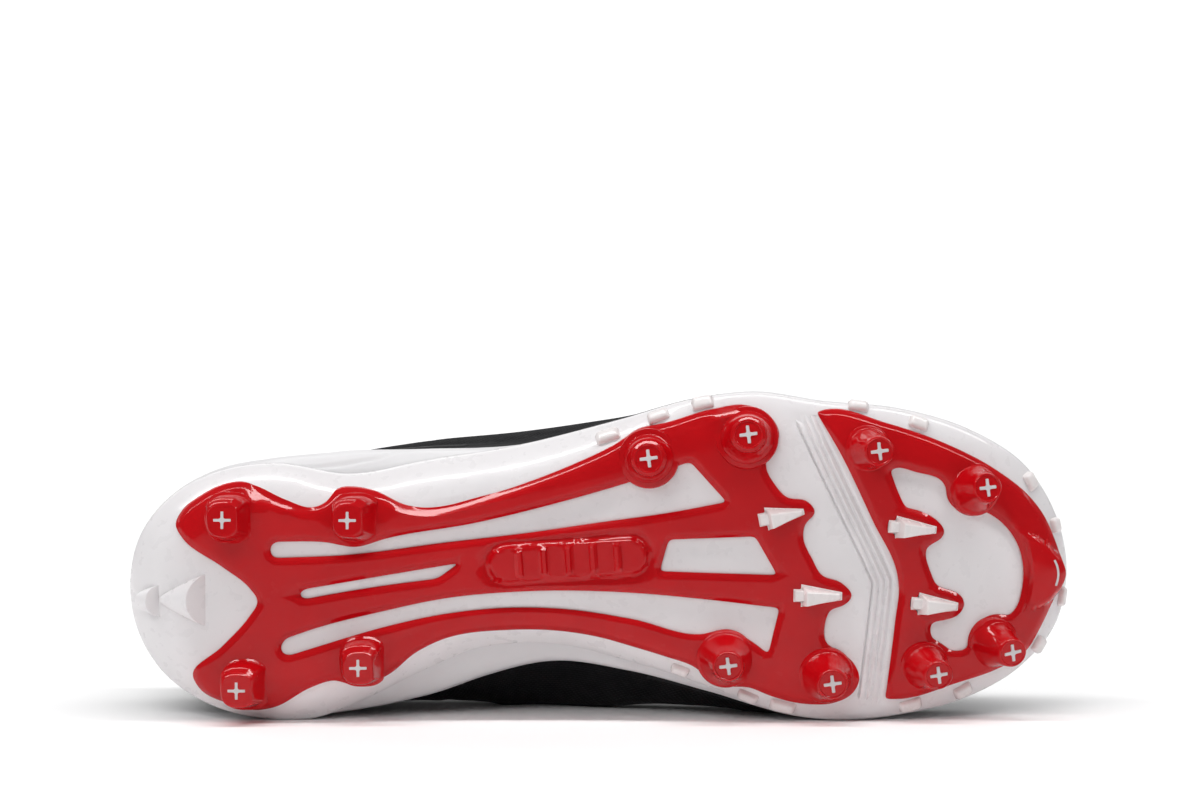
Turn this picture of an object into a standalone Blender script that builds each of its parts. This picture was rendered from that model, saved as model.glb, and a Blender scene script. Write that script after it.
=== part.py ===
"""Right football cleat, empty and unworn, lying on its medial side.

Shoe frame while modelling: x runs from heel (0) to toe, y to the medial side, z up from the
plane of the stud tips.  All tables are in millimetres.  At the end one empty turns the shoe
onto the floor, where the medial sole edge and the medial wall of the upper both touch.
"""
from collections import namedtuple
from math import atan, cos, pi, radians, sin

import bmesh
import bpy
import numpy as np
from mathutils import Matrix, Vector

for old in list(bpy.data.objects):
    bpy.data.objects.remove(old, do_unlink=True)

# Driving sizes
MM = 0.001
GAP = 0.3
PLATE_THICKNESS = 2.4
FRAME_THICKNESS = 1.8
ROLL_WIDTH = 15.0
ROLL_POWER = 2.2
RIM_WIDTH = 4.0
RIM_SHARE = 0.8
INSOLE_THICKNESS = 3.0
INSOLE_INSET = 6.5
INSOLE_GAP = 0.6
UPPER_WALL = 2.0
UPPER_INSET = 0.7
UPPER_FOOT = 1.5
TONGUE_THICKNESS = 4.0
STUD_HEIGHT = 10.0
STUD_ROOT = 3.3
INLAY_SPAN = 6.0
INLAY_ARM = 1.5
INLAY_DEPTH = 0.9
LACE_RADIUS = 1.6
LACE_CLEAR = 0.8
EYELET_RADIUS = 2.2

# Mesh fineness
RING_POINTS = 52
INSOLE_POINTS = 32
EDGE_SAMPLES = 400
UPPER_ROWS = 8
STUD_SIDES = 12
CURVE_STEPS = 2
FLAT_ANGLE = 0.6
PLATE_INSETS = (14.0, 8.0, 3.5, 0.0)
FILL_SHARES = (0.16, 0.38, 0.62, 0.84)

# Height of the sole's underside along its length: flat heel, low arch, toe spring.
SOLE_LINE = [
    (0, 16.5), (8, 14.6), (20, 12.8), (40, 12.0), (70, 12.2), (100, 14.0), (130, 15.0),
    (160, 13.6), (190, 12.0), (208, 12.0), (222, 12.7), (240, 15.0), (258, 19.0),
    (274, 24.2), (286, 29.3), (295, 34.5), (299, 37.5),
]

# Foam thickness over the plate along the length.
FOAM_LINE = [(0, 8.0), (60, 7.5), (130, 6.0), (200, 4.5), (299, 4.0)]

# Stations round the plate's edge, from the heel's back along the lateral side to the toe and
# back along the medial side.  rise: how far the edge curls up, foot: how far the midsole
# stands out past the edge, wall: height of the midsole's side over the edge.
Edge = namedtuple("Edge", "x y rise foot wall")
EDGE = [
    Edge(0, 5, 9, -0.2, 16), Edge(3.5, -12.5, 9, -0.2, 16), Edge(13, -24.5, 9, -0.3, 16),
    Edge(27, -32.3, 9, -0.2, 16), Edge(45, -35.3, 9, 0.6, 16), Edge(70, -31.8, 10.5, 6.4, 16),
    Edge(95, -36, 11, 2.8, 15), Edge(125, -41, 11, -0.9, 12), Edge(155, -48.8, 9, -1.2, 9.5),
    Edge(180, -56, 6, -0.6, 8), Edge(198, -58, 5.5, -0.1, 8), Edge(220, -55, 5.5, -0.1, 8),
    Edge(245, -52.3, 5.5, -0.1, 8), Edge(268, -45, 5, -0.1, 8), Edge(285, -33.5, 4, 0.2, 8),
    Edge(295, -17.5, 3, 0.3, 8), Edge(298.5, 0, 2.5, 0.5, 8.5), Edge(294.5, 18, 3, 0.5, 8),
    Edge(284, 30, 4, 0.4, 8), Edge(266, 39.8, 5, -0.2, 8), Edge(245, 44.7, 5.5, -0.9, 8),
    Edge(228, 46.2, 5.5, -1.1, 8), Edge(208, 44.2, 6, 0, 8), Edge(185, 36, 8, 2, 9),
    Edge(160, 28.2, 10, 3.5, 10), Edge(135, 22.6, 11, 6, 12), Edge(112, 23.6, 11, 9.5, 14),
    Edge(92, 31.5, 11, 8.5, 16), Edge(75, 39.8, 10.5, 4, 16), Edge(58, 46, 9.5, -0.7, 16),
    Edge(42, 45.9, 9, -1, 16), Edge(25, 41.3, 9, -0.6, 16), Edge(11, 31.8, 9, -0.3, 16),
    Edge(2.5, 18.2, 9, -0.2, 16),
]
TOE_STATION = 16

# Midsole side, bottom to top: out is a share of foot, up a share of wall.
Side = namedtuple("Side", "out up")
MIDSOLE_SIDE = [Side(0.7, 0.16), Side(1.0, 0.45), Side(1.0, 0.78), Side(RIM_SHARE, 1.0)]

# Sections of the upper round the foot.  share: place round the sole edge (heel 0, toe 0.5),
# belly and rise: how the wall leaves the sole, reach and drop: how it comes to the topline,
# top_x, top_y, top_z: the topline of collar and throat.
Section = namedtuple("Section", "share belly rise reach drop top_x top_y top_z")
UPPER = [
    Section(0.000, -2, 25, 4, 25, 13, 5, 99),
    Section(0.038, -5, 22, 3, 24, 17, -10, 97),
    Section(0.095, -6, 18, 3, 18, 45, -25, 85),
    Section(0.150, 7, 18, 5, 20, 80, -24, 88),
    Section(0.205, 13, 22, 14, 26, 104, -17, 108),
    Section(0.290, 0, 24, 22, 16, 145, -17, 99),
    Section(0.385, -5, 24, 30, 10, 178, -14, 88),
    Section(0.450, -4, 23, 42, 8, 188, -10, 84.5),
    Section(0.500, -2, 22, 46, 8, 191, -4, 83),
    Section(0.548, -2, 23, 42, 8, 188, 3, 84.5),
    Section(0.615, -1, 24, 30, 10, 178, 8, 88),
    Section(0.705, 27, 22, 22, 17, 145, 12, 99),
    Section(0.750, 43, 23, 24, 24, 124, 13, 103.6),
    Section(0.790, 39, 24, 25, 30, 104, 14, 108),
    Section(0.855, 10, 20, 7, 24, 80, 26, 90),
    Section(0.907, 0, 18, 2, 20, 45, 35, 86),
    Section(0.960, 0, 22, 3, 24, 17, 20, 97),
]

# Tongue along its length: centre line, half width and how far its sides drop.
Band = namedtuple("Band", "x y z half arch")
TONGUE = [
    Band(200, -3.5, 76.5, 13, 5), Band(178, -3, 85, 13.5, 6), Band(145, -2.5, 96.5, 16.5, 8),
    Band(118, -2, 103.5, 17, 9), Band(100, -1.5, 110.5, 14.6, 9), Band(84, -1, 123, 21, 7),
    Band(77, -1, 131, 20, 5),
]
TONGUE_SHARES = (-1.0, -0.6, -0.2, 0.2, 0.6, 1.0)
TONGUE_SECTIONS = 15

# Studs: pad centre, pad and tip radius, shift of the tip to the heel and splay to the medial side
# in degrees.  Heel studs have a flat side towards the toe.
Stud = namedtuple("Stud", "x y pad tip shift splay")
HEEL_STUDS = [
    Stud(32.3, -18.5, 9.8, 6.2, 1.6, -1), Stud(72, -18.4, 9.5, 6.0, 2.6, -1),
    Stud(37, 34, 9.0, 6.2, 2.0, 6.5), Stud(74, 26.8, 9.5, 6.0, 1.4, 6.5),
]
BALL_STUDS = [
    Stud(165, -37.4, 9.6, 4.7, -0.5, -3.5), Stud(196, -44, 10.0, 4.7, -0.3, -9),
    Stud(189.3, 26, 9.3, 4.7, -0.9, 7.5), Stud(222, 31.3, 9.6, 4.7, 0, 9.5),
]
FRONT_STUDS = [
    Stud(235.5, -39.5, 8.4, 4.5, -0.5, -4.5), Stud(268.5, -28, 9.2, 4.5, 0, -2.5),
    Stud(254, 30.5, 8.6, 4.5, 0, 2), Stud(275.5, 23, 9.4, 4.5, 0, 4.5),
]
HEEL_FLAT = 0.82

# Underside pattern: smooth outlines, a third entry marks a sharp corner.
REAR_OUTLINE = [
    (15, -16), (19, -22.5), (31, -29.3), (40, -29), (50, -24.5), (59, -22), (66, -27.3),
    (77, -27.3), (88, -22.6), (100, -22.3), (120, -27.5), (140, -35), (157, -43.5), (170, -48.5),
    (185, -53), (196, -54.2), (204, -50), (206.3, -45), (202.6, -38.3), (202, -35),
    (208, -25.3), (215, -24), (217.7, -20.5), (214, -15.8), (214, -12.5), (219.5, -0.5),
    (226, 2), (229.4, 6.5), (224, 10.3), (221, 13), (221.5, 21.5), (229, 26.5), (231.8, 32.5),
    (226, 39.6), (215, 40.8), (203, 38), (195, 35.4), (186, 34.5), (180, 29.3), (160, 22.8),
    (140, 18.3), (122, 17.6), (98, 21), (86, 29), (73, 35.3), (64, 33), (50, 39.5), (43, 43),
    (32, 41), (22, 36), (20, 32.5), (30, 22), (41, 7.8), (30, -3), (17, -12.5),
]
LATERAL_WINDOW = [
    (45.3, -8), (48, -11), (63, -10.8), (72, -9.3), (82, -12), (110, -16.8), (140, -24.2),
    (157, -29.2), (178, -36.3, "corner"), (189.4, -23.7, "corner"), (171, -20.2), (150, -17.2),
    (127, -13.8), (100, -10.7), (70, -7), (49, -5.9),
]
INNER_WINDOW = [
    (54.6, 5.4), (60, 3.2), (80, 0), (100, -3.4), (107, -3.5), (106, -1), (97, 0.8), (80, 3),
    (60, 6.3),
]
FORE_WINDOW = [
    (171.3, -11.6, "corner"), (198.5, -12.7, "corner"), (205.4, -0.6, "corner"),
    (168.5, -1.7, "corner"),
]
MEDIAL_WINDOW = [
    (48.5, 22.5), (51, 19.3), (60, 16.3), (80, 11.3), (100, 7.2), (125, 5), (153, 5), (180, 7),
    (206.2, 10, "corner"), (202.7, 24.4, "corner"), (180, 18), (160, 13.6), (140, 10.6),
    (122, 10), (100, 12), (80, 16.3), (60, 22.2), (51, 25),
]
FRONT_OUTLINE = [
    (219, -51), (222, -52.6), (240, -48.5), (260, -41.3), (280, -29.5), (290, -18), (294.5, -8),
    (296.8, -0.5), (294.3, 8), (289.5, 18), (284.5, 26.5), (278, 29.8), (262, 35), (243, 40),
    (239.8, 39), (242, 22), (244.3, 7), (243, -1), (236, -17), (224, -40),
]
FRONT_WINDOW = [
    (241.6, -33), (252, -31), (262, -27.5), (273, -20), (279, -14), (284.3, 1), (281.5, 11),
    (276, 15), (266, 22), (260, 24), (254.4, 18), (261, 13.8), (265.2, 9.8), (260, 4),
    (255, 1.5), (252.7, -8), (255, -10.3), (259, -14), (255, -18.8), (247, -22),
]

# Traction blades: heel end, heading in degrees, length, widths and heights of the two ends.
Blade = namedtuple("Blade", "x y heading length heel_width toe_width tall low")
BLADES = [
    Blade(202, -18.4, -11, 12.2, 7.4, 1.8, 8, 3), Blade(213, 5.9, 1, 13, 7.2, 2.5, 8, 3),
    Blade(242.8, -15.6, 5, 13.2, 7.2, 2.2, 8, 3), Blade(250, 8.9, 5, 13, 7.2, 2.5, 8, 3),
]
BLADE_ROOT = 1.2

# Edge lugs: place round the plate edge, length along the edge and width across it.
Lug = namedtuple("Lug", "x y length width")
LUGS = [
    Lug(152, -44, 8.4, 5), Lug(168, -50.3, 7.8, 4.6), Lug(182, -54.6, 7.6, 5),
    Lug(231.3, -53.5, 7.2, 4), Lug(250.5, -48, 7, 4.6), Lug(286.5, -28.8, 6.5, 4.4),
    Lug(294.6, -14.5, 5.4, 4), Lug(296.8, 8.4, 7, 3), Lug(289.4, 23.4, 6, 4.4),
    Lug(264.8, 37.2, 6.8, 4.4), Lug(248, 41.4, 8, 4.4), Lug(207.5, 41.4, 9, 4.2),
    Lug(196.5, 38.4, 7.4, 4), Lug(175, 30, 6.5, 4),
]
LUG_HEIGHT = 2.4
LUG_SINK = 0.5

# Heel fins: half cones lying along the sole, flat face towards the toe.
Fin = namedtuple("Fin", "face_x apex_x y radius height")
FINS = [Fin(24.5, 10, 7.5, 8, 6.5), Fin(9, 2.5, 7.5, 5.5, 3.5)]
FIN_SIDES = 20
FIN_ROOT = 1.0

# Raised tongue on the tip of the toe: its corners, seen from below.
TOE_BOSS = [
    (285.5, -13, "corner"), (288.2, -13.5, "corner"), (295.2, -5), (296.4, 0), (295.2, 5.5),
    (291, 11.5, "corner"), (286, 12.5, "corner"), (284.8, 1),
]
TOE_BOSS_HEIGHT = 4.5
TOE_BOSS_ROOT = 3.0

EYELET_SHARES = (0.398, 0.362, 0.325, 0.288, 0.249, 0.213)
EYELET_LEVEL = 0.925
LACE_LIFT = 3.0
LACE_EDGE = 0.2
LACE_STEPS = 2

RED = (0.56, 0.012, 0.016)
WHITE = (0.82, 0.82, 0.83)
BLACK = (0.012, 0.012, 0.014)
GREY = (0.03, 0.03, 0.034)

PARTS = bpy.data.collections.new("athletic_cleat")
bpy.context.scene.collection.children.link(PARTS)


def spline(keys, values, at):
    """Smooth curve through a table: values at the given keys."""
    keys = np.asarray(keys, float)
    values = np.asarray(values, float)
    slopes = np.gradient(values, keys, axis=0)
    at = np.clip(np.asarray(at, float), keys[0], keys[-1])
    left = np.clip(np.searchsorted(keys, at, side="right") - 1, 0, len(keys) - 2)
    step = keys[left + 1] - keys[left]
    t = (at - keys[left]) / step
    if values.ndim > 1:
        t = t[:, None]
        step = step[:, None]
    start = (1 + 2 * t) * (1 - t) ** 2 * values[left] + t * (1 - t) ** 2 * step * slopes[left]
    end = t * t * (3 - 2 * t) * values[left + 1] + t * t * (t - 1) * step * slopes[left + 1]
    return start + end


def closed_spline(keys, values, period, at):
    """Smooth closed curve: the table repeats after one period."""
    keys = np.asarray(keys, float)
    values = np.asarray(values, float)
    return spline(np.concatenate([keys - period, keys, keys + period]),
                  np.concatenate([values, values, values]), at)


EDGE_TABLE = np.array(EDGE, float)
EDGE_STEPS = np.linalg.norm(np.roll(EDGE_TABLE[:, :2], -1, axis=0) - EDGE_TABLE[:, :2], axis=1)
EDGE_KEYS = np.concatenate([[0.0], np.cumsum(EDGE_STEPS)[:-1]])
EDGE_LENGTH = EDGE_STEPS.sum()
TOE_KEY = EDGE_KEYS[TOE_STATION]


def edge_at(shares):
    """Edge table at places round the sole, and the outward direction there."""
    shares = np.mod(np.asarray(shares, float), 1.0)
    keys = np.where(shares <= 0.5, shares * 2 * TOE_KEY,
                    TOE_KEY + (shares * 2 - 1) * (EDGE_LENGTH - TOE_KEY))
    rows = closed_spline(EDGE_KEYS, EDGE_TABLE, EDGE_LENGTH, keys)
    ahead = closed_spline(EDGE_KEYS, EDGE_TABLE[:, :2], EDGE_LENGTH, keys + 0.5)
    behind = closed_spline(EDGE_KEYS, EDGE_TABLE[:, :2], EDGE_LENGTH, keys - 0.5)
    along = ahead - behind
    along /= np.linalg.norm(along, axis=1)[:, None]
    return rows, np.stack([along[:, 1], -along[:, 0]], axis=1)


DENSE_EDGE, DENSE_OUT = edge_at(np.arange(EDGE_SAMPLES) / EDGE_SAMPLES)


def sole_line(x):
    return spline(*zip(*SOLE_LINE), x)


def foam_line(x):
    return spline(*zip(*FOAM_LINE), x)


def sole_bottom(points):
    """Height of the plate's underside: sole line plus the curl of the edge."""
    points = np.atleast_2d(points)
    start = DENSE_EDGE[:, :2]
    step = np.roll(start, -1, axis=0) - start
    offset = points[:, None, :] - start[None]
    t = np.clip((offset * step).sum(-1) / (step * step).sum(-1), 0, 1)
    away = offset - t[..., None] * step
    distance = np.linalg.norm(away, axis=-1)
    near = distance.argmin(axis=1)
    pick = np.arange(len(points))
    outward = (away[pick, near] * DENSE_OUT[near]).sum(-1)
    inset = np.where(outward > 0, -distance[pick, near], distance[pick, near])
    curl = np.clip(1 - inset / ROLL_WIDTH, 0, 1.3) ** ROLL_POWER
    return sole_line(points[:, 0]) + DENSE_EDGE[near, 2] * curl


def ground_frame(x, y, sink=0.0, splay=0.0):
    """Matrix at a point of the underside: x towards the toe, z down along the slope's normal."""
    height = float(sole_bottom([(x, y)])[0])
    slope = atan(float(sole_line(x + 2) - sole_line(x - 2)) / 4)
    down = Vector((sin(slope), sin(radians(splay)), -cos(slope))).normalized()
    along = (Vector((1, 0, 0)) - down * down.x).normalized()
    turn = Matrix((along, down.cross(along), down)).transposed().to_4x4()
    return Matrix.Translation((Vector((x, y, height)) - down * sink) * MM) @ turn


def link_mesh(bm, name):
    bmesh.ops.recalc_face_normals(bm, faces=bm.faces)
    mesh = bpy.data.meshes.new(name)
    bm.to_mesh(mesh)
    bm.free()
    obj = bpy.data.objects.new(name, mesh)
    PARTS.objects.link(obj)
    return obj


def as_mesh(obj, weld=True):
    """Replace an object by its evaluated mesh, with the loose caps of a curve welded."""
    bpy.context.view_layer.update()
    graph = bpy.context.evaluated_depsgraph_get()
    mesh = bpy.data.meshes.new_from_object(obj.evaluated_get(graph))
    bm = bmesh.new()
    bm.from_mesh(mesh)
    if weld:
        bmesh.ops.remove_doubles(bm, verts=bm.verts, dist=1e-6)
    matrix = obj.matrix_world.copy()
    name = obj.name
    bpy.data.objects.remove(obj, do_unlink=True)
    solid = link_mesh(bm, name)
    solid.matrix_world = matrix
    return solid


def joined(name, objects):
    """One mesh that holds several solids, each in its own place."""
    bm = bmesh.new()
    bpy.context.view_layer.update()
    for obj in objects:
        mesh = obj.data.copy()
        mesh.transform(obj.matrix_world)
        bm.from_mesh(mesh)
        bpy.data.meshes.remove(mesh)
        bpy.data.objects.remove(obj, do_unlink=True)
    return link_mesh(bm, name)


def combine(target, other, operation, solver="EXACT"):
    """Boolean with another solid, which is used up."""
    cut = target.modifiers.new(operation.lower(), "BOOLEAN")
    cut.object = other
    cut.operation = operation
    cut.solver = solver
    result = as_mesh(target, weld=False)
    bpy.data.objects.remove(other, do_unlink=True)
    return result


def without_flat_joins(obj):
    """Dissolve the edges inside flat areas that the cuts left behind."""
    bm = bmesh.new()
    bm.from_mesh(obj.data)
    bmesh.ops.dissolve_limit(bm, angle_limit=radians(FLAT_ANGLE), verts=bm.verts[:], edges=bm.edges[:])
    bmesh.ops.triangulate(bm, faces=bm.faces[:])
    bm.to_mesh(obj.data)
    bm.free()
    return obj


def stitch(bm, first, second):
    """Triangles between two rows of vertices along the shorter diagonals; a row may be one point."""
    if len(first) == 1:
        for a, b in zip(second, second[1:]):
            bm.faces.new((first[0], a, b))
    elif len(second) == 1:
        stitch(bm, second, first)
    else:
        for a, b, c, d in zip(first, first[1:], second[1:], second):
            if (a.co - c.co).length < (b.co - d.co).length:
                bm.faces.new((a, b, c))
                bm.faces.new((a, c, d))
            else:
                bm.faces.new((a, b, d))
                bm.faces.new((b, c, d))


def fill_ring(bm, ring, height):
    """Close a ring round the sole with chords from its lateral to its medial side."""
    half = len(ring) // 2
    row = [ring[0]]
    for j in range(1, half):
        left, right = ring[j], ring[-j]
        chord = [left]
        for share in FILL_SHARES:
            place = left.co.lerp(right.co, share) / MM
            place.z = float(height(np.array([[place.x, place.y]]))[0])
            chord.append(bm.verts.new(place * MM))
        chord.append(right)
        stitch(bm, row, chord)
        row = chord
    stitch(bm, row, [ring[half]])


def ring_solid(name, rings, low, high):
    """Closed solid through rings round the sole, filled below and above."""
    bm = bmesh.new()
    rows = [[bm.verts.new(Vector(point) * MM) for point in ring] for ring in rings]
    for first, second in zip(rows, rows[1:]):
        stitch(bm, first + first[:1], second + second[:1])
    fill_ring(bm, rows[0], low)
    fill_ring(bm, rows[-1], high)
    return link_mesh(bm, name)


def sole_ring(out, height, count=RING_POINTS):
    """Ring offset outward from the plate edge; out may differ round the edge."""
    rows, outward = edge_at(np.arange(count) / count)
    place = rows[:, :2] + outward * np.broadcast_to(out, len(rows))[:, None]
    return np.column_stack([place, height(place) if callable(height) else height])


def sole_slab(name, low, high):
    """Slab that follows the underside, between two offsets from it."""
    rings = [sole_ring(-inset, lambda p: sole_bottom(p) + low) for inset in PLATE_INSETS]
    rings += [sole_ring(-inset, lambda p: sole_bottom(p) + high) for inset in PLATE_INSETS[::-1]]
    return ring_solid(name, rings, lambda p: sole_bottom(p) + low, lambda p: sole_bottom(p) + high)


def prism(name, loops, low, high):
    """Flat outline with holes, extruded between two heights."""
    curve = bpy.data.curves.new(name, "CURVE")
    curve.dimensions = "2D"
    curve.fill_mode = "BOTH"
    curve.extrude = (high - low) / 2 * MM
    curve.resolution_u = CURVE_STEPS
    for loop in loops:
        path = curve.splines.new("BEZIER")
        path.bezier_points.add(len(loop) - 1)
        path.use_cyclic_u = True
        for point, row in zip(path.bezier_points, loop):
            point.co = Vector((row[0], row[1], 0)) * MM
            kind = "VECTOR" if len(row) > 2 else "AUTO"
            point.handle_left_type = kind
            point.handle_right_type = kind
    obj = bpy.data.objects.new(name, curve)
    obj.location.z = (low + high) / 2 * MM
    PARTS.objects.link(obj)
    return as_mesh(obj)


def plus_outline(span, arm):
    """Corners of a plus sign, by quarter turns of one arm."""
    corners = []
    for turn in range(4):
        quarter = Matrix.Rotation(turn * pi / 2, 2)
        for x, y in ((arm / 2, arm / 2), (span / 2, arm / 2), (span / 2, -arm / 2)):
            corner = quarter.inverted() @ Vector((x, y))
            corners.append((corner.x, corner.y, "corner"))
    return corners


def stud_solid(stud):
    """Turned stud: flared pad, ringed cone and flat tip, pointing down from the frame."""
    pad, tip, top = stud.pad, stud.tip, STUD_HEIGHT + FRAME_THICKNESS
    profile = [
        (0, top), (tip, top), (tip + 1.2, top - 6.0), (pad * 0.8, FRAME_THICKNESS + 2.2),
        (pad, FRAME_THICKNESS + 0.6), (pad, -STUD_ROOT), (0, -STUD_ROOT),
    ]
    bm = bmesh.new()
    points = [bm.verts.new(Vector((radius, 0, height)) * MM) for radius, height in profile]
    for a, b in zip(points, points[1:]):
        bm.edges.new((a, b))
    obj = link_mesh(bm, "stud")
    turn = obj.modifiers.new("turn", "SCREW")
    turn.steps = STUD_SIDES
    turn.render_steps = STUD_SIDES
    turn.use_merge_vertices = True
    turn.merge_threshold = 1e-6
    obj.matrix_world = ground_frame(stud.x, stud.y, splay=stud.splay)
    solid = as_mesh(obj)
    for vert in solid.data.vertices:
        rise = (vert.co.z / MM - FRAME_THICKNESS) / STUD_HEIGHT
        if stud in HEEL_STUDS and rise > 0.1:
            vert.co.x = min(vert.co.x, HEEL_FLAT * Vector(vert.co.xy).length)
        vert.co.x -= stud.shift * max(rise, 0) * MM
    return solid


def inlay_solid(name, stud, span, arm, depth, proud):
    """Plus-shaped piece set into a stud's tip."""
    top = STUD_HEIGHT + FRAME_THICKNESS
    solid = prism(name, [plus_outline(span, arm)], top - depth, top + proud)
    tip = ground_frame(stud.x, stud.y, splay=stud.splay) @ Matrix.Translation((-stud.shift * MM, 0, 0))
    solid.matrix_world = tip @ solid.matrix_world
    return solid


def blade_solid(name, blade, grow, root, spare):
    """Wedge that is wide and tall at its heel end."""
    bm = bmesh.new()
    bmesh.ops.create_cube(bm, size=1.0)
    for vert in bm.verts:
        toe_end = vert.co.x > 0
        width = (blade.toe_width if toe_end else blade.heel_width) + 2 * grow
        tall = (blade.low if toe_end else blade.tall) + spare
        length = blade.length + grow if toe_end else -grow
        vert.co = Vector((length, vert.co.y * width, tall if vert.co.z > 0 else -root)) * MM
    solid = link_mesh(bm, name)
    frame = ground_frame(blade.x, blade.y)
    solid.matrix_world = frame @ Matrix.Rotation(-radians(blade.heading), 4, "Z")
    return solid


def lug_solid(lug):
    """Small block on the curled edge, square to the surface there."""
    bm = bmesh.new()
    bmesh.ops.create_cube(bm, size=1.0)
    for vert in bm.verts:
        vert.co = Vector((vert.co.x * lug.length, vert.co.y * lug.width, vert.co.z * LUG_HEIGHT)) * MM
    solid = link_mesh(bm, "lug")
    near = np.hypot(DENSE_EDGE[:, 0] - lug.x, DENSE_EDGE[:, 1] - lug.y).argmin()
    out = DENSE_OUT[near]
    step = np.array([out, -out]) * 1.5 + (lug.x, lug.y)
    rise = sole_bottom(step)
    across = Vector((out[0], out[1], (rise[0] - rise[1]) / 3)).normalized()
    along = Vector((-out[1], out[0], float(sole_line(lug.x + 2) - sole_line(lug.x - 2)) / 4 * -out[1]))
    up = along.cross(across).normalized()
    along = across.cross(up)
    base = Vector((lug.x, lug.y, float(sole_bottom([(lug.x, lug.y)])[0])))
    base -= up * (LUG_HEIGHT / 2 - LUG_SINK) * (1 if up.z > 0 else -1)
    turn = Matrix((along, across, up)).transposed().to_4x4()
    solid.matrix_world = Matrix.Translation(base * MM) @ turn
    return solid


def fin_solid(fin):
    """Half cone under the heel, its round side down and its flat face towards the toe."""
    bm = bmesh.new()
    bmesh.ops.create_cone(bm, cap_ends=True, segments=FIN_SIDES, radius1=1.0, radius2=0.12, depth=1.0)
    bmesh.ops.bisect_plane(bm, geom=bm.verts[:] + bm.edges[:] + bm.faces[:],
                           plane_no=(1, 0, 0), clear_inner=True)
    bmesh.ops.edgeloop_fill(bm, edges=[edge for edge in bm.edges if edge.is_boundary])
    length = fin.face_x - fin.apex_x
    for vert in bm.verts:
        side, along, down = vert.co.y * fin.radius, -(vert.co.z + 0.5) * length, vert.co.x
        vert.co = Vector((along, side, down * (fin.height + FIN_ROOT))) * MM
    solid = link_mesh(bm, "fin")
    solid.matrix_world = ground_frame(fin.face_x, fin.y, sink=FIN_ROOT)
    return solid


def toe_boss_solid():
    """Raised tongue on the tip of the toe."""
    middle = np.mean([row[:2] for row in TOE_BOSS], axis=0)
    flat = [(row[0] - middle[0], middle[1] - row[1], *row[2:]) for row in TOE_BOSS]
    solid = prism("toe_boss", [flat], -TOE_BOSS_ROOT, TOE_BOSS_HEIGHT + FRAME_THICKNESS)
    solid.matrix_world = ground_frame(*middle) @ solid.matrix_world
    return solid


def frame_solid(name, loops, studs, extras, blades):
    """Red underside frame: a band of the underside with studs fused on and pockets cut in."""
    body = combine(sole_slab(name, -FRAME_THICKNESS - GAP, 5), prism("outline", loops, -10, 90),
                   "INTERSECT")
    body = combine(body, joined("studs", [stud_solid(stud) for stud in studs] + extras), "UNION", "MANIFOLD")
    body = combine(body, sole_slab("above", -GAP, 40), "DIFFERENCE", "MANIFOLD")
    pockets = [blade_solid("pocket", blade, GAP, 6, 8) for blade in blades]
    for stud in studs:
        pockets.append(inlay_solid("pocket", stud, INLAY_SPAN + 2 * GAP, INLAY_ARM + 2 * GAP,
                                   INLAY_DEPTH + GAP, 2))
    return without_flat_joins(combine(body, joined("pockets", pockets), "DIFFERENCE", "MANIFOLD"))


def plate_solid():
    """White plate, with blades, edge lugs and heel fins moulded whole."""
    plate = sole_slab("outsole_plate", 0, PLATE_THICKNESS)
    extras = [blade_solid("blade", blade, 0, BLADE_ROOT, 0) for blade in BLADES]
    extras += [lug_solid(lug) for lug in LUGS]
    extras += [fin_solid(fin) for fin in FINS]
    return without_flat_joins(combine(plate, joined("extras", extras), "UNION"))


def plate_top(points):
    return sole_bottom(points) + PLATE_THICKNESS


def footbed(points):
    return sole_line(points[:, 0]) + PLATE_THICKNESS + GAP + foam_line(points[:, 0])


def rim_top(rows):
    """Height of the midsole's rim at stations round the edge."""
    return sole_line(rows[:, 0]) + rows[:, 2] + PLATE_THICKNESS + GAP + rows[:, 4]


def midsole_solid():
    """Foam carrier: lies on the plate, stands out at the waist and cups the foot."""
    rows, _ = edge_at(np.arange(RING_POINTS) / RING_POINTS)
    foot, wall = rows[:, 3], rows[:, 4]
    rings = [sole_ring(-inset, lambda p: plate_top(p) + GAP) for inset in PLATE_INSETS]
    for side in MIDSOLE_SIDE:
        rings.append(sole_ring(foot * side.out, rim_top(rows) - wall * (1 - side.up)))
    rings.append(sole_ring(-RIM_WIDTH, rim_top(rows)))
    rings.append(sole_ring(-RIM_WIDTH - 1.0, footbed))
    return ring_solid("midsole", rings, lambda p: plate_top(p) + GAP, footbed)


def insole_solid():
    """Sock liner on the footbed."""
    def under(points):
        return footbed(points) + INSOLE_GAP

    def over(points):
        return under(points) + INSOLE_THICKNESS
    rings = [sole_ring(-INSOLE_INSET, face, INSOLE_POINTS) for face in (under, over)]
    return ring_solid("insole", rings, under, over)


def upper_point(share, level):
    """Outer face of the upper: level 0 on the midsole's rim, 1 on the topline."""
    rows, outward = edge_at([share])
    row, out = rows[0], outward[0]
    table = np.array(UPPER, float)
    _, belly, rise, reach, drop, *top = closed_spline(table[:, 0], table, 1.0, [share])[0]
    base = Vector((*(row[:2] + out * (row[3] * RIM_SHARE - UPPER_INSET)), rim_top(rows)[0] + GAP))
    top = Vector(top)
    lean = Vector((base.x - top.x, base.y - top.y, 0)).normalized()
    first = base + Vector((out[0] * belly, out[1] * belly, rise))
    last = top + lean * reach - Vector((0, 0, drop))
    rest = 1 - level
    return (base * rest ** 3 + first * 3 * rest * rest * level + last * 3 * rest * level * level
            + top * level ** 3)


def upper_normal(share, level):
    """Outward direction of the upper's face."""
    along = upper_point(share + 0.004, level) - upper_point(share - 0.004, level)
    up = upper_point(share, level) - upper_point(share, level - 0.01)
    return along.cross(up).normalized()


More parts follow.
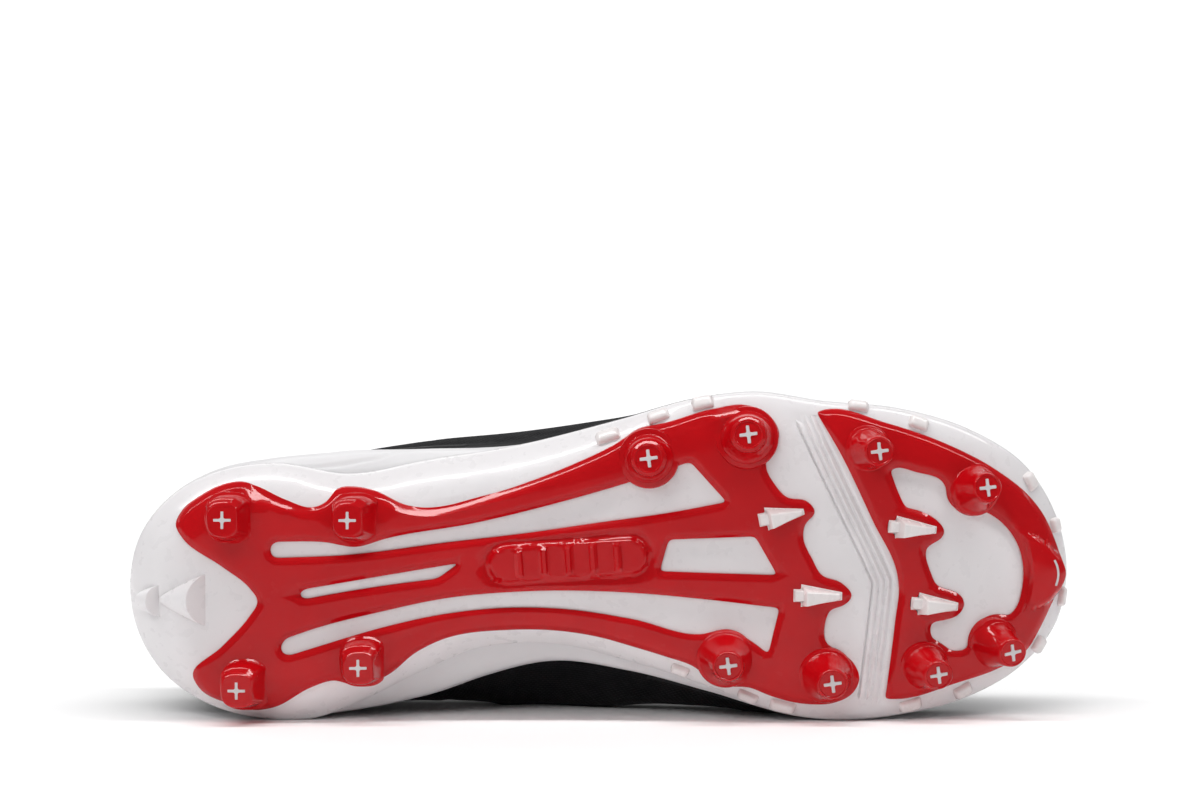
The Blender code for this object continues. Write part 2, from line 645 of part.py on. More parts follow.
def upper_solid():
    """One wall round the foot, open at collar and throat and underneath."""
    bm = bmesh.new()
    rows = []
    shares = np.arange(RING_POINTS) / RING_POINTS
    lift = Vector((0, 0, UPPER_FOOT))
    rows.append([bm.verts.new(upper_point(share, 0) * MM) for share in shares])
    rows.append([bm.verts.new((upper_point(share, 0) + lift) * MM) for share in shares])
    for level in np.linspace(0, 1, UPPER_ROWS)[1:]:
        rows.append([bm.verts.new(upper_point(share, level) * MM) for share in shares])
    for first, second in zip(rows, rows[1:]):
        stitch(bm, first + first[:1], second + second[:1])
    outward = upper_normal(0.25, 0.5)
    obj = link_mesh(bm, "upper")
    middle = min(obj.data.polygons, key=lambda face: (face.center / MM - upper_point(0.25, 0.5)).length)
    wall = obj.modifiers.new("wall", "SOLIDIFY")
    wall.thickness = UPPER_WALL * MM
    wall.offset = -1.0 if middle.normal.dot(outward) > 0 else 1.0
    obj = as_mesh(obj)
    holes = []
    for lateral in EYELET_SHARES:
        for share in (lateral, 1 - lateral):
            bm = bmesh.new()
            bmesh.ops.create_cone(bm, cap_ends=True, segments=8, radius1=EYELET_RADIUS * MM,
                                  radius2=EYELET_RADIUS * MM, depth=10 * MM)
            hole = link_mesh(bm, "eyelet")
            turn = upper_normal(share, EYELET_LEVEL).to_track_quat("Z", "X").to_matrix().to_4x4()
            place = upper_point(share, EYELET_LEVEL) * MM
            hole.matrix_world = Matrix.Translation(place) @ turn
            holes.append(hole)
    return combine(obj, joined("eyelets", holes), "DIFFERENCE")


def tongue_solid():
    """Padded sheet under the throat, rising past the collar."""
    table = np.array(TONGUE, float)
    keys = np.arange(len(table))
    sections = spline(keys, table, np.linspace(0, len(table) - 1, TONGUE_SECTIONS))
    bm = bmesh.new()
    rows = []
    for x, y, z, half, arch in sections:
        rows.append([bm.verts.new(Vector((x, y + half * share, z - arch * share * share)) * MM)
                     for share in TONGUE_SHARES])
    for first, second in zip(rows, rows[1:]):
        stitch(bm, first, second)
    obj = link_mesh(bm, "tongue")
    pad = obj.modifiers.new("pad", "SOLIDIFY")
    pad.thickness = TONGUE_THICKNESS * MM
    pad.offset = -1.0 if obj.data.polygons[0].normal.z > 0 else 1.0
    return as_mesh(obj)


def lace_cord(first_side):
    """One lace run, from side to side up the eyelets."""
    def over(step, level, ahead=0.0):
        share = EYELET_SHARES[step]
        if ahead:
            share += (EYELET_SHARES[step + 1] - share) * ahead
        if (step + (ahead > 0.5) + first_side) % 2:
            share = 1 - share
        return upper_point(share, level) + upper_normal(share, level) * (LACE_RADIUS + LACE_CLEAR)

    route = []
    for step in range(len(EYELET_SHARES) - 1):
        rim = [over(step, 1.0, LACE_EDGE), over(step, 1.0, 1 - LACE_EDGE)]
        route += [over(step, EYELET_LEVEL), rim[0], (rim[0] + rim[1]) / 2 + Vector((0, 0, LACE_LIFT)), rim[1]]
    route.append(over(len(EYELET_SHARES) - 1, EYELET_LEVEL))
    count = (len(route) - 1) * LACE_STEPS + 1
    points = spline(np.arange(len(route)), np.array([tuple(stop) for stop in route]),
                    np.linspace(0, len(route) - 1, count))
    curve = bpy.data.curves.new("lace", "CURVE")
    curve.dimensions = "3D"
    curve.bevel_depth = LACE_RADIUS * MM
    curve.bevel_resolution = 0
    curve.use_fill_caps = True
    path = curve.splines.new("POLY")
    path.points.add(count - 1)
    for point, place in zip(path.points, points):
        point.co = (*(place * MM), 1)
    obj = bpy.data.objects.new("laces", curve)
    PARTS.objects.link(obj)
    return as_mesh(obj)


def laces_solid():
    """Two lace runs that cross over the tongue, joined where they cross."""
    laces = lace_cord(0)
    return combine(laces, lace_cord(1), "UNION")


def paint(obj, colour, roughness):
    """Give a part its own material."""
    material = bpy.data.materials.new(obj.name)
    material.use_nodes = True
    shader = material.node_tree.nodes["Principled BSDF"]
    shader.inputs["Base Color"].default_value = (*colour, 1)
    shader.inputs["Roughness"].default_value = roughness
    shader.inputs["Metallic"].default_value = 0.0
    obj.data.materials.clear()
    obj.data.materials.append(material)
    obj.data.shade_smooth()
    obj.data.set_sharp_from_angle(angle=radians(35))


def lying_lean(sole, wall):
    """Lean at which sole edge and upper wall reach equally far down, in radians."""
    def reach(obj, lean):
        return max(v.co.y * cos(lean) + v.co.z * sin(lean) for v in obj.data.vertices)
    low, high = -0.3, 0.6
    for _ in range(40):
        middle = (low + high) / 2
        if max(reach(obj, middle) for obj in sole) > reach(wall, middle):
            low = middle
        else:
            high = middle
    return low


def lay_on_side(parts, lean):
    """Turn the shoe onto its medial side, its box centred on the floor."""
    shoe = bpy.data.objects.new("shoe", None)
    PARTS.objects.link(shoe)
    shoe.rotation_euler.x = -(pi / 2 + lean)
    for obj in parts:
        obj.parent = shoe
    bpy.context.view_layer.update()
    corners = np.array([obj.matrix_world @ v.co for obj in parts for v in obj.data.vertices])
    low, high = corners.min(axis=0), corners.max(axis=0)
    shoe.location = (-(low[0] + high[0]) / 2, -(low[1] + high[1]) / 2, -low[2])


plate = plate_solid()
rear = frame_solid("frame_rear", [REAR_OUTLINE, LATERAL_WINDOW, INNER_WINDOW, FORE_WINDOW, MEDIAL_WINDOW],
                   HEEL_STUDS + BALL_STUDS, [], BLADES[:2])
front = frame_solid("frame_front", [FRONT_OUTLINE, FRONT_WINDOW], FRONT_STUDS, [toe_boss_solid()], BLADES[2:])
inlays = []
for number, stud in enumerate(HEEL_STUDS + BALL_STUDS + FRONT_STUDS, 1):
    inlays.append(inlay_solid(f"stud_inlay_{number:02d}", stud, INLAY_SPAN, INLAY_ARM, INLAY_DEPTH, 0))
midsole = midsole_solid()
insole = insole_solid()
upper = upper_solid()
tongue = tongue_solid()
laces = laces_solid()

for obj in (rear, front):
    paint(obj, RED, 0.25)
for obj in (plate, midsole, *inlays):
    paint(obj, WHITE, 0.4)
for obj in (upper, laces):
    paint(obj, BLACK, 0.7)
for obj in (tongue, insole):
    paint(obj, GREY, 0.8)

lay_on_side([plate, rear, front, *inlays, midsole, insole, upper, tongue, laces],
            lying_lean([plate, midsole], upper))
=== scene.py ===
"""Right football cleat lying on its medial side, dressed for its picture.

Shoe frame while modelling, as in the solids: x runs from heel (0) to toe, y to the medial side, z up
from the plane of the stud tips.  Sizes are millimetres until piece() lays them on the floor in metres.
"""
from collections import namedtuple
from math import atan, cos, pi, radians, sin, tan

import bmesh
import bpy
import numpy as np
from mathutils import Matrix, Vector, kdtree
from mathutils.geometry import delaunay_2d_cdt


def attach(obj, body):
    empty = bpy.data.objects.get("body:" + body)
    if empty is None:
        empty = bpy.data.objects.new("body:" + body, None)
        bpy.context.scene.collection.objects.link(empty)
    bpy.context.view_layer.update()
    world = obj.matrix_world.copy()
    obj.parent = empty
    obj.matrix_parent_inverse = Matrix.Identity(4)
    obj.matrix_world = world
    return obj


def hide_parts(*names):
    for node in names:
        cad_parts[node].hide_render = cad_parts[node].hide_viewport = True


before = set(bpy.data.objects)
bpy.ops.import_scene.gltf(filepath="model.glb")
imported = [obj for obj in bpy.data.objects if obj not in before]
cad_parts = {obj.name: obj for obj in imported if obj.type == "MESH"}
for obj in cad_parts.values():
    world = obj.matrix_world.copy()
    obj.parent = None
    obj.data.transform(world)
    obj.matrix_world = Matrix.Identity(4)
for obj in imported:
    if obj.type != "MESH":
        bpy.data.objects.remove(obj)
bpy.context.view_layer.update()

# How the solids lie: the shoe's lean past its side and the place of its heel, as in the part
MM = 0.001
LEAN = 0.0263099
HEEL_PLACE = Vector((-149.8137, -65.1603, 46.8929))

# Driving sizes shared with the solids
GAP = 0.3
PLATE_THICKNESS = 2.4
FRAME_THICKNESS = 1.8
ROLL_WIDTH = 15.0
ROLL_POWER = 2.2
ROLL_MOST = 1.3
RIM_WIDTH = 4.0
RIM_SHARE = 0.8
INSOLE_THICKNESS = 3.0
INSOLE_INSET = 6.5
INSOLE_GAP = 0.6
UPPER_WALL = 2.0
UPPER_INSET = 0.7
TONGUE_THICKNESS = 4.0
STUD_HEIGHT = 10.0
INLAY_SPAN = 6.0
INLAY_ARM = 1.35
INLAY_TURN = 7.0
EYELET_RADIUS = 2.2

# Height of the sole's underside along its length: flat heel, low arch, toe spring
SOLE_LINE = [
    (0, 16.5), (8, 14.6), (20, 12.8), (40, 12.0), (70, 12.2), (100, 14.0), (130, 15.0),
    (160, 13.6), (190, 12.0), (208, 12.0), (222, 12.7), (240, 15.0), (258, 19.0),
    (274, 24.2), (286, 29.3), (295, 34.5), (299, 37.5),
]

# Foam thickness over the plate along the length
FOAM_LINE = [(0, 8.0), (60, 7.5), (130, 6.0), (200, 4.5), (299, 4.0)]

# Stations round the plate's edge, from the heel's back along the lateral side to the toe and back:
# x, y, how far the edge curls up, how far the midsole stands out and the height of its side
EDGE = [
    (0, 5, 9, -0.2, 16), (3.5, -12.5, 9, -0.2, 16), (13, -24.5, 9, -0.3, 16),
    (27, -32.3, 9, -0.2, 16), (45, -35.3, 9, 0.6, 16), (70, -31.8, 10.5, 6.4, 16),
    (95, -36, 11, 2.8, 15), (125, -41, 11, -0.9, 12), (155, -48.8, 9, -1.2, 9.5),
    (180, -56, 6, -0.6, 8), (198, -58, 5.5, -0.1, 8), (220, -55, 5.5, -0.1, 8),
    (245, -52.3, 5.5, -0.1, 8), (268, -45, 5, -0.1, 8), (285, -33.5, 4, 0.2, 8),
    (295, -17.5, 3, 0.3, 8), (298.5, 0, 2.5, 0.5, 8.5), (294.5, 18, 3, 0.5, 8),
    (284, 30, 4, 0.4, 8), (266, 39.8, 5, -0.2, 8), (245, 44.7, 5.5, -0.9, 8),
    (228, 46.2, 5.5, -1.1, 8), (208, 44.2, 6, 0, 8), (185, 36, 8, 2, 9),
    (160, 28.2, 10, 3.5, 10), (135, 22.6, 11, 6, 12), (112, 23.6, 11, 9.5, 14),
    (92, 31.5, 11, 8.5, 16), (75, 39.8, 10.5, 4, 16), (58, 46, 9.5, -0.7, 16),
    (42, 45.9, 9, -1, 16), (25, 41.3, 9, -0.6, 16), (11, 31.8, 9, -0.3, 16),
    (2.5, 18.2, 9, -0.2, 16),
]
TOE_STATION = 16
EDGE_SAMPLES = 1200
EDGE_PROBE = 0.5
SLOPE_REACH = 2.0

# Sections of the upper round the foot: place round the sole edge (heel 0, toe 0.5), belly and rise where
# the wall leaves the sole, reach and drop where it comes to the topline, and the topline's x, y and z
UPPER = [
    (0.000, -2, 25, 4, 25, 13, 5, 99),
    (0.038, -5, 22, 3, 24, 17, -10, 97),
    (0.095, -6, 18, 3, 18, 45, -25, 85),
    (0.150, 7, 18, 5, 20, 80, -24, 88),
    (0.205, 13, 22, 14, 26, 104, -17, 108),
    (0.290, 0, 24, 22, 16, 145, -17, 99),
    (0.385, -5, 24, 30, 10, 178, -14, 88),
    (0.450, -4, 23, 42, 8, 188, -10, 84.5),
    (0.500, -2, 22, 46, 8, 191, -4, 83),
    (0.548, -2, 23, 42, 8, 188, 3, 84.5),
    (0.615, -1, 24, 30, 10, 178, 8, 88),
    (0.705, 27, 22, 22, 17, 145, 12, 99),
    (0.750, 43, 23, 24, 24, 124, 13, 103.6),
    (0.790, 39, 24, 25, 30, 104, 14, 108),
    (0.855, 10, 20, 7, 24, 80, 26, 90),
    (0.907, 0, 18, 2, 20, 45, 35, 86),
    (0.960, 0, 22, 3, 24, 17, 20, 97),
]
UPPER_COLUMNS = 440
UPPER_ROWS = 60
SHARE_PROBE = 0.003
LEVEL_PROBE = 0.01
LEVEL_COUNT = 200

# Tongue from its lower end up: x, y and z of its middle, half width and how far its sides drop
TONGUE = [
    (200, -3.5, 76.5, 13, 5), (178, -3, 85, 13.5, 6), (145, -2.5, 96.5, 16.5, 8),
    (118, -2, 103.5, 17, 9), (100, -1.5, 110.5, 14.6, 9), (84, -1, 123, 21, 7),
    (77, -1, 131, 20, 5),
]

# Studs: pad centre, pad and tip radius, shift of the tip to the heel, splay to the medial side in
# degrees, and for round studs the foot of the cone.  Heel studs have a flat side towards the toe.
Stud = namedtuple("Stud", "x y pad tip shift splay foot", defaults=(None,))
HEEL_STUDS = [
    Stud(32.3, -18.5, 9.8, 6.2, 1.6, -1), Stud(72, -18.4, 9.5, 6.0, 2.6, -1),
    Stud(37, 34, 9.0, 6.2, 2.0, 6.5), Stud(74, 26.8, 9.5, 6.0, 1.4, 6.5),
]
BALL_STUDS = [
    Stud(165, -37.4, 9.6, 4.7, -0.5, -3.5, 7.7), Stud(196, -44, 10.0, 4.7, -0.3, -9, 8.4),
    Stud(189.3, 26, 9.3, 4.7, -0.9, 7.5, 8.5), Stud(221, 31.3, 8.9, 4.7, -1, 9.5, 8.0),
]
FRONT_STUDS = [
    Stud(234, -40.3, 7.6, 4.5, -2, 0, 6.7), Stud(267.9, -27, 8.5, 4.5, -0.6, -6.3, 7.6),
    Stud(252, 28.8, 8.1, 4.5, -2, 11, 7.2), Stud(274.2, 22.2, 8.5, 4.5, -2.3, 12.5, 7.6),
]

# Heel stud from foot to tip: radius beyond the tip's and height over the frame, then its lateral side
# with a ribbed chamfer
HEEL_SIDE = [
    (3.4, -3.3), (3.2, -0.5), (2.6, 0.05), (2.2, 0.5), (1.9, 1.3), (1.3, 5.0), (1.0, 6.5), (0.8, 7.6),
    (0.65, 8.4), (0.5, 9.0), (0.35, 9.5), (0.12, 9.85), (-0.1, 10), (-0.6, 10),
]
HEEL_LATERAL = [
    (3.4, -3.3), (3.2, -0.5), (2.7, 0.05), (2.35, 0.5), (2.15, 1.3), (2.05, 7.9), (2.0, 8.0), (1.4, 8.46),
    (1.33, 8.66), (0.73, 9.12), (0.66, 9.32), (0.05, 9.8), (-0.05, 10), (-0.6, 10),
]
HEEL_FLAT = 0.82
HEEL_SQUARE = 2.6
HEEL_TRIM = 1.1
HEEL_AHEAD = 0.4
RIBBED_GAIN = 2.2
RIBBED_START = 0.6

# Round stud: its pad as (added radius, height over the frame), then its cone as (share of the foot's
# radius against the tip's, added radius, height), ringed where the pad leaves room, then its rim as
# (radius beyond the tip's, height beyond the tip's)
STUD_PAD = [(0, -3.3), (0, -0.7), (-0.25, -0.2)]
RINGED_CONE = [
    (1, 0.1, 0.1), (1, 0, 0.25), (1, -0.15, 0.8), (1, -0.4, 1.0), (1, -0.9, 1.5), (0.5, 0, 3.2),
    (0.25, 0, 5.6),
]
PLAIN_CONE = [
    (1, 0.1, 0.1), (1, -0.15, 0.35), (1, -0.5, 0.9), (0.7, 0, 2.2), (0.4, 0, 4.4), (0.18, 0, 6.8),
    (0, 0.3, 9.0),
]
STUD_RIM = [(0.12, -0.3), (-0.15, 0), (-0.4, -0.02), (-0.65, -0.3)]
RINGED_SHARE = 0.86
RING_WIDTH = 0.85
RING_LEAN = 42.0
RING_LEVEL = 7.8
RING_LAND = 0.2
STUD_SIDES = 56
INLAY_SINK = 1.2
INLAY_LIFT = 0.05
INLAY_ROUND = 0.25
INLAY_ROWS = (0.075, 0.25)
INLAY_STEP = 0.2
INLAY_SPACING = 1.6

# Underside pattern: smooth outlines, a third entry marks a corner
REAR_OUTLINE = [
    (15, -16), (17.3, -21), (23, -25.5), (31, -29.3), (36, -30), (41, -28.6), (50, -24.5), (59, -22),
    (62.5, -23.4), (66.5, -27.8), (72, -28.2), (79, -26.8), (88, -22.7), (95, -21.8), (100, -22.3),
    (110, -24.8), (120, -27.5), (130, -31), (140, -35), (157, -43.5), (161, -46.3), (170, -48.5),
    (185, -53), (195, -54.4), (201, -52.6), (205, -48.8), (206.3, -45), (205, -40.8), (202.2, -37.8),
    (202, -35), (205, -29), (208.5, -25.2), (215, -24), (217.7, -20.5), (214.3, -16.3),
    (213.8, -13), (217, -5), (219.6, -0.5), (226, 2), (229.4, 6.5), (227, 9.1), (222.2, 11),
    (221, 14), (221.3, 21.2), (226, 24), (230.6, 28.6), (231.8, 32.5), (229.3, 37.6), (224, 40.3),
    (215, 40.8), (203, 38), (197, 35.6), (189, 35.3), (184.5, 33.7), (180, 29.5), (170, 25.8),
    (160, 22.8), (150, 20), (140, 18.3), (122, 17.6), (98, 21), (91.5, 24.3), (82, 32), (73, 35.3),
    (65, 33.1), (58, 35.3), (46, 42), (41, 43), (32, 41), (22.5, 36.2), (20.3, 32), (30, 22),
    (38.5, 12.6), (41.2, 7.8), (38.5, 3.6), (30, -3), (17, -12.5),
]
LATERAL_WINDOW = [
    (46.6, -6.0, "corner"), (45.3, -7.3, "corner"), (45.3, -9.6, "corner"), (46.7, -11.0, "corner"),
    (63, -10.8), (72, -9.3), (82, -12), (110, -16.8), (140, -24.2), (157, -29.2),
    (178, -36.3, "corner"), (189.4, -23.7, "corner"), (171, -20.2), (150, -17.2), (127, -13.8),
    (100, -10.7), (70, -7),
]
INNER_WINDOW = [
    (54.6, 5.0, "corner"), (56.2, 4.0, "corner"), (80, 0), (104.5, -4.0, "corner"), (98, 0.7, "corner"),
    (80, 3), (60, 6.3), (56.4, 7.0, "corner"), (54.8, 6.4, "corner"),
]
FORE_WINDOW = [
    (171.3, -11.6, "corner"), (198.5, -12.7, "corner"), (205.4, -0.6, "corner"),
    (168.5, -1.7, "corner"),
]
MEDIAL_WINDOW = [
    (48.4, 22.2, "corner"), (50, 19.7, "corner"), (60, 16.3), (80, 11.3), (100, 7.2), (125, 5), (153, 5),
    (180, 7), (206.2, 10, "corner"), (202.7, 24.4, "corner"), (196, 19.5), (189, 16.7), (182, 18.2),
    (160, 13.6), (140, 10.6), (122, 10), (100, 12), (80, 16.3), (60, 22.2), (51, 25, "corner"),
    (48.9, 24.2, "corner"),
]
FRONT_OUTLINE = [
    (217.8, -52, "corner"), (221, -52.8), (240, -48.5), (260, -41.3), (276, -32.6), (286, -24.5),
    (291, -18), (294.5, -10.5), (296.8, -4), (298.2, 0.5), (296.5, 5.2), (294, 10), (290, 18),
    (285.3, 25.4), (278, 29.8), (262, 35), (246, 39.4), (239.8, 39.4, "corner"), (240.3, 35.5),
    (243, 13.9), (244.1, 3), (243.4, -1.3), (236, -17), (225, -39.8),
]
FRONT_WINDOW = [
    (241.4, -33.5, "corner"), (242.9, -34.1), (249.6, -32.7), (258, -29.6), (259.1, -27.9, "corner"),
    (259.4, -24.6), (261.3, -21.6), (265.2, -19.4), (269.7, -19), (271.9, -19.8, "corner"),
    (276.4, -16.8), (280.8, -11.8), (283.6, -5.1), (284.2, 0.5), (283.6, 6), (281.9, 11.1),
    (279.7, 13.6, "corner"), (276.4, 12.9), (271.9, 13.8), (268.6, 16.6), (266.6, 20.5),
    (266, 23.7, "corner"), (264.1, 24.2), (260.8, 24.1, "corner"), (258.5, 22.2), (256.3, 20.8),
    (254.7, 20, "corner"), (254.4, 16.1), (255, 15, "corner"), (259.1, 14.4), (263.6, 12.7),
    (265.3, 9.4), (264.1, 6.6), (260.8, 4.9), (257.4, 3.8), (255.8, 2.7, "corner"), (254.7, -0.1),
    (252.8, -7.3), (253, -8.7, "corner"), (254.7, -9.8), (258, -11.8), (258.9, -13.8), (257.4, -16.4),
    (253, -19.6), (248.5, -21.2), (246.3, -21.6, "corner"), (244.6, -25.1), (242.4, -30.7),
]
LOOP_STEP = 0.7
LOOP_DENSE = 4
CORNER_PASSES = 4
FRAME_BEVEL = 1.8
BEVEL_WALL = 0.34
BEVEL_RISE = 0.74
BEVEL_ROUND = 0.32
FRAME_SPACING = 2.2
FRAME_SHARP = 32.0
FRAME_ROWS = (0.1, 0.5, 0.95, 1.4, 1.75, 2.1, 2.7, 3.3, 4.1, 5.0)
POCKET_SPARE = -0.2
POCKET_STEP = 0.5

# Chamfer along the rear frame's lateral edge: place along the shoe, share of it, reach from the edge
# and how far the frame stands up there
SHOULDER = [
    (35, 0, 5.2, 0), (39, 1, 5.2, 0), (42, 1, 4.8, 0), (46, 1, 3.9, 0),
    (52, 1, 3, 0), (60, 0, 3, 0), (78, 0, 2.7, 0.5), (85, 1, 2.7, 0.5),
    (112, 0.9, 2.7, 0.5), (150, 0.3, 2.5, 0.4), (158, 0, 2.5, 0.3),
    (183, 0, 3.2, 0), (187, 1, 3.2, 0), (193, 1, 3.2, 0), (198, 0, 3.2, 0),
]
SHOULDER_SLOPE = 0.88
SHOULDER_CURVE = 0.015
SHOULDER_Y = -12.0
SHOULDER_BLEND = 3.0
SHOULDER_LEAST = 0.1
SHOULDER_SPARE = 0.01

# Traction blades: heel end, heading in degrees, length, widths and heights of the two ends
Blade = namedtuple("Blade", "x y heading length heel_width toe_width tall low")
REAR_BLADES = [Blade(202, -18.4, -11, 12.2, 7.4, 1.8, 8, 3), Blade(213, 5.9, 1, 13, 7.2, 2.5, 8, 3)]
FRONT_BLADES = [Blade(242.8, -15.6, 5, 13.2, 7.2, 2.2, 8, 3), Blade(250, 8.9, 5, 13, 7.2, 2.5, 8, 3)]
BLADE_SINK = 1.0
BLADE_STEP = 0.2
BLADE_OVERLAP = 0.6
FOOT_BEVEL = 0.1
# Crown of a blade: how far in from its heel and toe ends, how far its toe end stands over the low height,
# shares of the half widths round from the heel end, bevel
CROWN_HEEL = 1.5
CROWN_TOE = 0.9
CROWN_LIFT = 0.6
CROWN_SHARES = (0.85, 0.7, 0.5, 0.4)
CROWN_BEVEL = 0.45
# Tab behind a blade: length, half width as a share of the heel end's width, inset and narrowing of its
# top, heights at its two ends, bevel
BLADE_TAB = 2.4
BLADE_TAB_SHARE = 0.28
TAB_INSET = 0.5
TAB_NARROW = 0.8
TAB_HEIGHTS = (3.4, 4.2)
TAB_BEVEL = 0.35

# Edge lugs: place near the plate edge, length along the edge and width across it
Lug = namedtuple("Lug", "x y length width")
LUGS = [
    Lug(152, -44, 8.4, 5), Lug(168, -50.3, 7.8, 4.6), Lug(182, -54.6, 7.6, 5),
    Lug(231.3, -53.5, 7.2, 4), Lug(250.5, -48, 7, 4.6), Lug(286.5, -28.8, 6.5, 4.4),
    Lug(294.6, -14.5, 5.4, 4), Lug(296.8, 8.4, 7, 3), Lug(289.4, 23.4, 6, 4.4),
    Lug(264.8, 37.2, 6.8, 4.4), Lug(248, 41.4, 8, 4.4), Lug(207.5, 41.4, 9, 4.2),
    Lug(196.5, 38.4, 7.4, 4), Lug(175, 30, 6.5, 4),
]
LUG_HEIGHT = 2.4
LUG_SINK = 0.5
LUG_TAPER = 0.74
LUG_BEVEL = 0.85
LUG_PROBE = 1.5

# Heel fins: half cones lying along the sole, cut by a slanting flat face towards the toe
Fin = namedtuple("Fin", "face_x ridge_x apex_x y radius height full")
FINS = [Fin(25.2, 18.9, 9.5, 7.5, 8.6, 6.0, 0.75), Fin(10.2, 6.0, 1.5, 8, 5.2, 3.5, 0.45)]
FIN_SINK = 0.6
FIN_POINT = 0.04
FIN_ROWS = 40
FIN_TURNS = 33

# Flex grooves follow the back edge of the front frame: distance to it, depth and half width; they fade
# past its ends and near the plate's edge, each fade as (start, width)
FLEX_EDGE = [
    (219.5, -51.5), (225, -39.8), (236, -17), (243.4, -1.3), (244.1, 3), (243, 13.9), (240.3, 35.5),
    (239.8, 39),
]
FLEX_COUNT = 200
FLEX_STEP = 0.8
FLEX_BAND = (0.8, 10.2, 0.32)
Groove = namedtuple("Groove", "away depth half")
GROOVES = [Groove(8.4, 1.1, 0.34), Groove(6.2, 0.9, 0.6), Groove(4.2, 0.9, 0.6), Groove(2.2, 0.8, 0.6)]
GROOVE_ENDS = (4.0, -3.0)
GROOVE_SIDES = (1.0, 4.0)
PLATE_ROWS = (0.05, 0.4, 0.9, 1.6, 2.8, 4.4)
PLATE_STEP = 0.9
PLATE_SPACING = 2.4
PLATE_ROUND = (0.35, 0.6)

# Plain ribbed bridge pad between the inner beams: middle, half length, radius, turn in degrees
PAD_MIDDLE = (139.5, -5.2)
PAD_HALF = 19.5
PAD_RADIUS = 6.0
PAD_TURN = -4.0
PAD_RIBS = (-15.6, -7.8, 0.0, 7.8, 15.6)
PAD_RAISE = 1.2
PAD_EDGE = 1.0
MOAT_DEPTH = 0.5
MOAT_AWAY = 0.9
MOAT_HALF = 0.8
RIB_HALF = 1.3
RIB_EDGE = 0.7
RIB_INSET = 1.4
RIB_END = 0.8
PAD_FIELD = ((-27, 27.1, 0.55), (-7.8, 7.9, 0.6))

# Raised tongue on the tip of the toe: outline of its top, height at its back and climb to the tip,
# chamfer along its edge; and the thin mark across it
TOE_TONGUE = [
    (284.4, -12.6, "corner"), (288, -10.2), (291.8, -7.1), (294.6, -4.2), (299, -3.2, "corner"),
    (299, 4.4, "corner"), (294.8, 5.2), (292, 8.2), (288.6, 9.7), (285.4, 11.4, "corner"), (287, 6),
    (287.2, 0), (286.6, -7),
]
TOE_START = 287.0
TOE_LEVEL = 1.9
TOE_CLIMB = 0.52
TOE_CHAMFER = 1.2
TOE_SLOPE = 0.77
TOE_WALL = 5.0
TOE_MARK = [(294.1, -4.1), (295.0, -2.1), (295.4, 0.2), (295.2, 2.3), (294.6, 4.3)]
TOE_MARK_COUNT = 40
TOE_MARK_WIDTH = 0.9
TOE_MARK_LIFT = 0.12
TOE_MARK_STEP = 0.25
TOE_MARK_SPACING = 0.6
TOE_FIELD = ((283, 298, 0.4), (-15, 14, 0.4))

# Eyelets: places round the sole edge on the lateral side, level on the upper, rim as (radius, height)
EYELET_SHARES = (0.398, 0.362, 0.325, 0.288, 0.249, 0.213)
EYELET_LEVEL = 0.925
EYELET_LIFT = 0.7
EYELET_SPARE = 0.2
EYELET_REACH = 7.0
EYELET_RIM = [
    (1.75, -0.2), (1.9, 0.35), (2.5, 0.55), (3.1, 0.4), (3.4, -0.1), (3.4, -2.6), (2.9, -3.2), (2.0, -3.2),
    (1.75, -2.6), (1.75, -0.2),
]
EYELET_SIDES = 28

# Lace: its stops on the upper as (level, lift, share of the full width), for the bar across the lowest
# eyelets, for the way down over the edge into an eyelet, out under the edge, and for the hidden end
LACE_WIDTH = 4.6
LACE_THICKNESS = 1.7
LACE_STEP = 0.9
LACE_SIDES = 16
LACE_ROUND = 11
LACE_SQUARE = 0.7
LACE_FULL = 1.6
LACE_ACROSS = (1.0, 0.0, -0.3)
BAR_STOPS = [(EYELET_LEVEL, -2.5, 0.6), (EYELET_LEVEL, 1.4, 0.75), (0.965, 1.7, 0.95), (1.0, 1.5, 1.0)]
DOWN_STOPS = [(0.965, 1.9, 0.95), (EYELET_LEVEL + 0.004, 1.6, 0.75), (EYELET_LEVEL, -1.5, 0.6)]
UNDER_STOPS = [(0.965, -3.6, 0.8), (1.0, -3.0, 1.0)]
END_STOP = (EYELET_LEVEL, -4.5, 0.6)
RIM_LIFT = 1.7
TONGUE_CLEAR = 2.0
CROSSING_LIFT = 1.1

# Stitches: pitch, lift over the upper, thread as (share of the pitch, radius), places of the seams
STITCH_PITCH = 2.6
STITCH_LIFT = 0.85
STITCH_SIDES = 6
STITCH_THREAD = ((0.12, 0.05), (0.25, 0.3), (0.75, 0.3), (0.88, 0.05))
EYESTAY_SEAM = (0.19, 0.49, 160)
EYESTAY_SEAM_IN = 1.8
COLLAR_SEAM = (-0.172, 0.172, 120)
COLLAR_SEAM_BELOW = 2.2

# Midsole side, bottom to top: height share and how far out; its foot and top are rounded by a depth
# over a fade as (start, width) of the height share
MIDSOLE_SIDE = [(0.0, 0.0), (0.16, 0.7), (0.45, 1.0), (0.78, 1.0), (1.0, RIM_SHARE)]
# Panel line on the midsole's lateral side: place along the shoe and height share
PANEL_LINE = [(54, 0.0), (66, 0.09), (80, 0.15), (95, 0.4), (112, 0.8)]
PANEL_DEPTH = 0.6
PANEL_HALF = 0.3
PANEL_END = 5.0
MIDSOLE_COLUMNS = 420
MIDSOLE_ROWS = 64
MIDSOLE_INSETS = (8.0, 4.0, 1.2)
MIDSOLE_ROUND = 0.8
MIDSOLE_TOP = (0.93, 0.07)
MIDSOLE_FOOT_ROUND = 0.35
MIDSOLE_FOOT = (0.04, -0.04)
MIDSOLE_STEP = 1.0

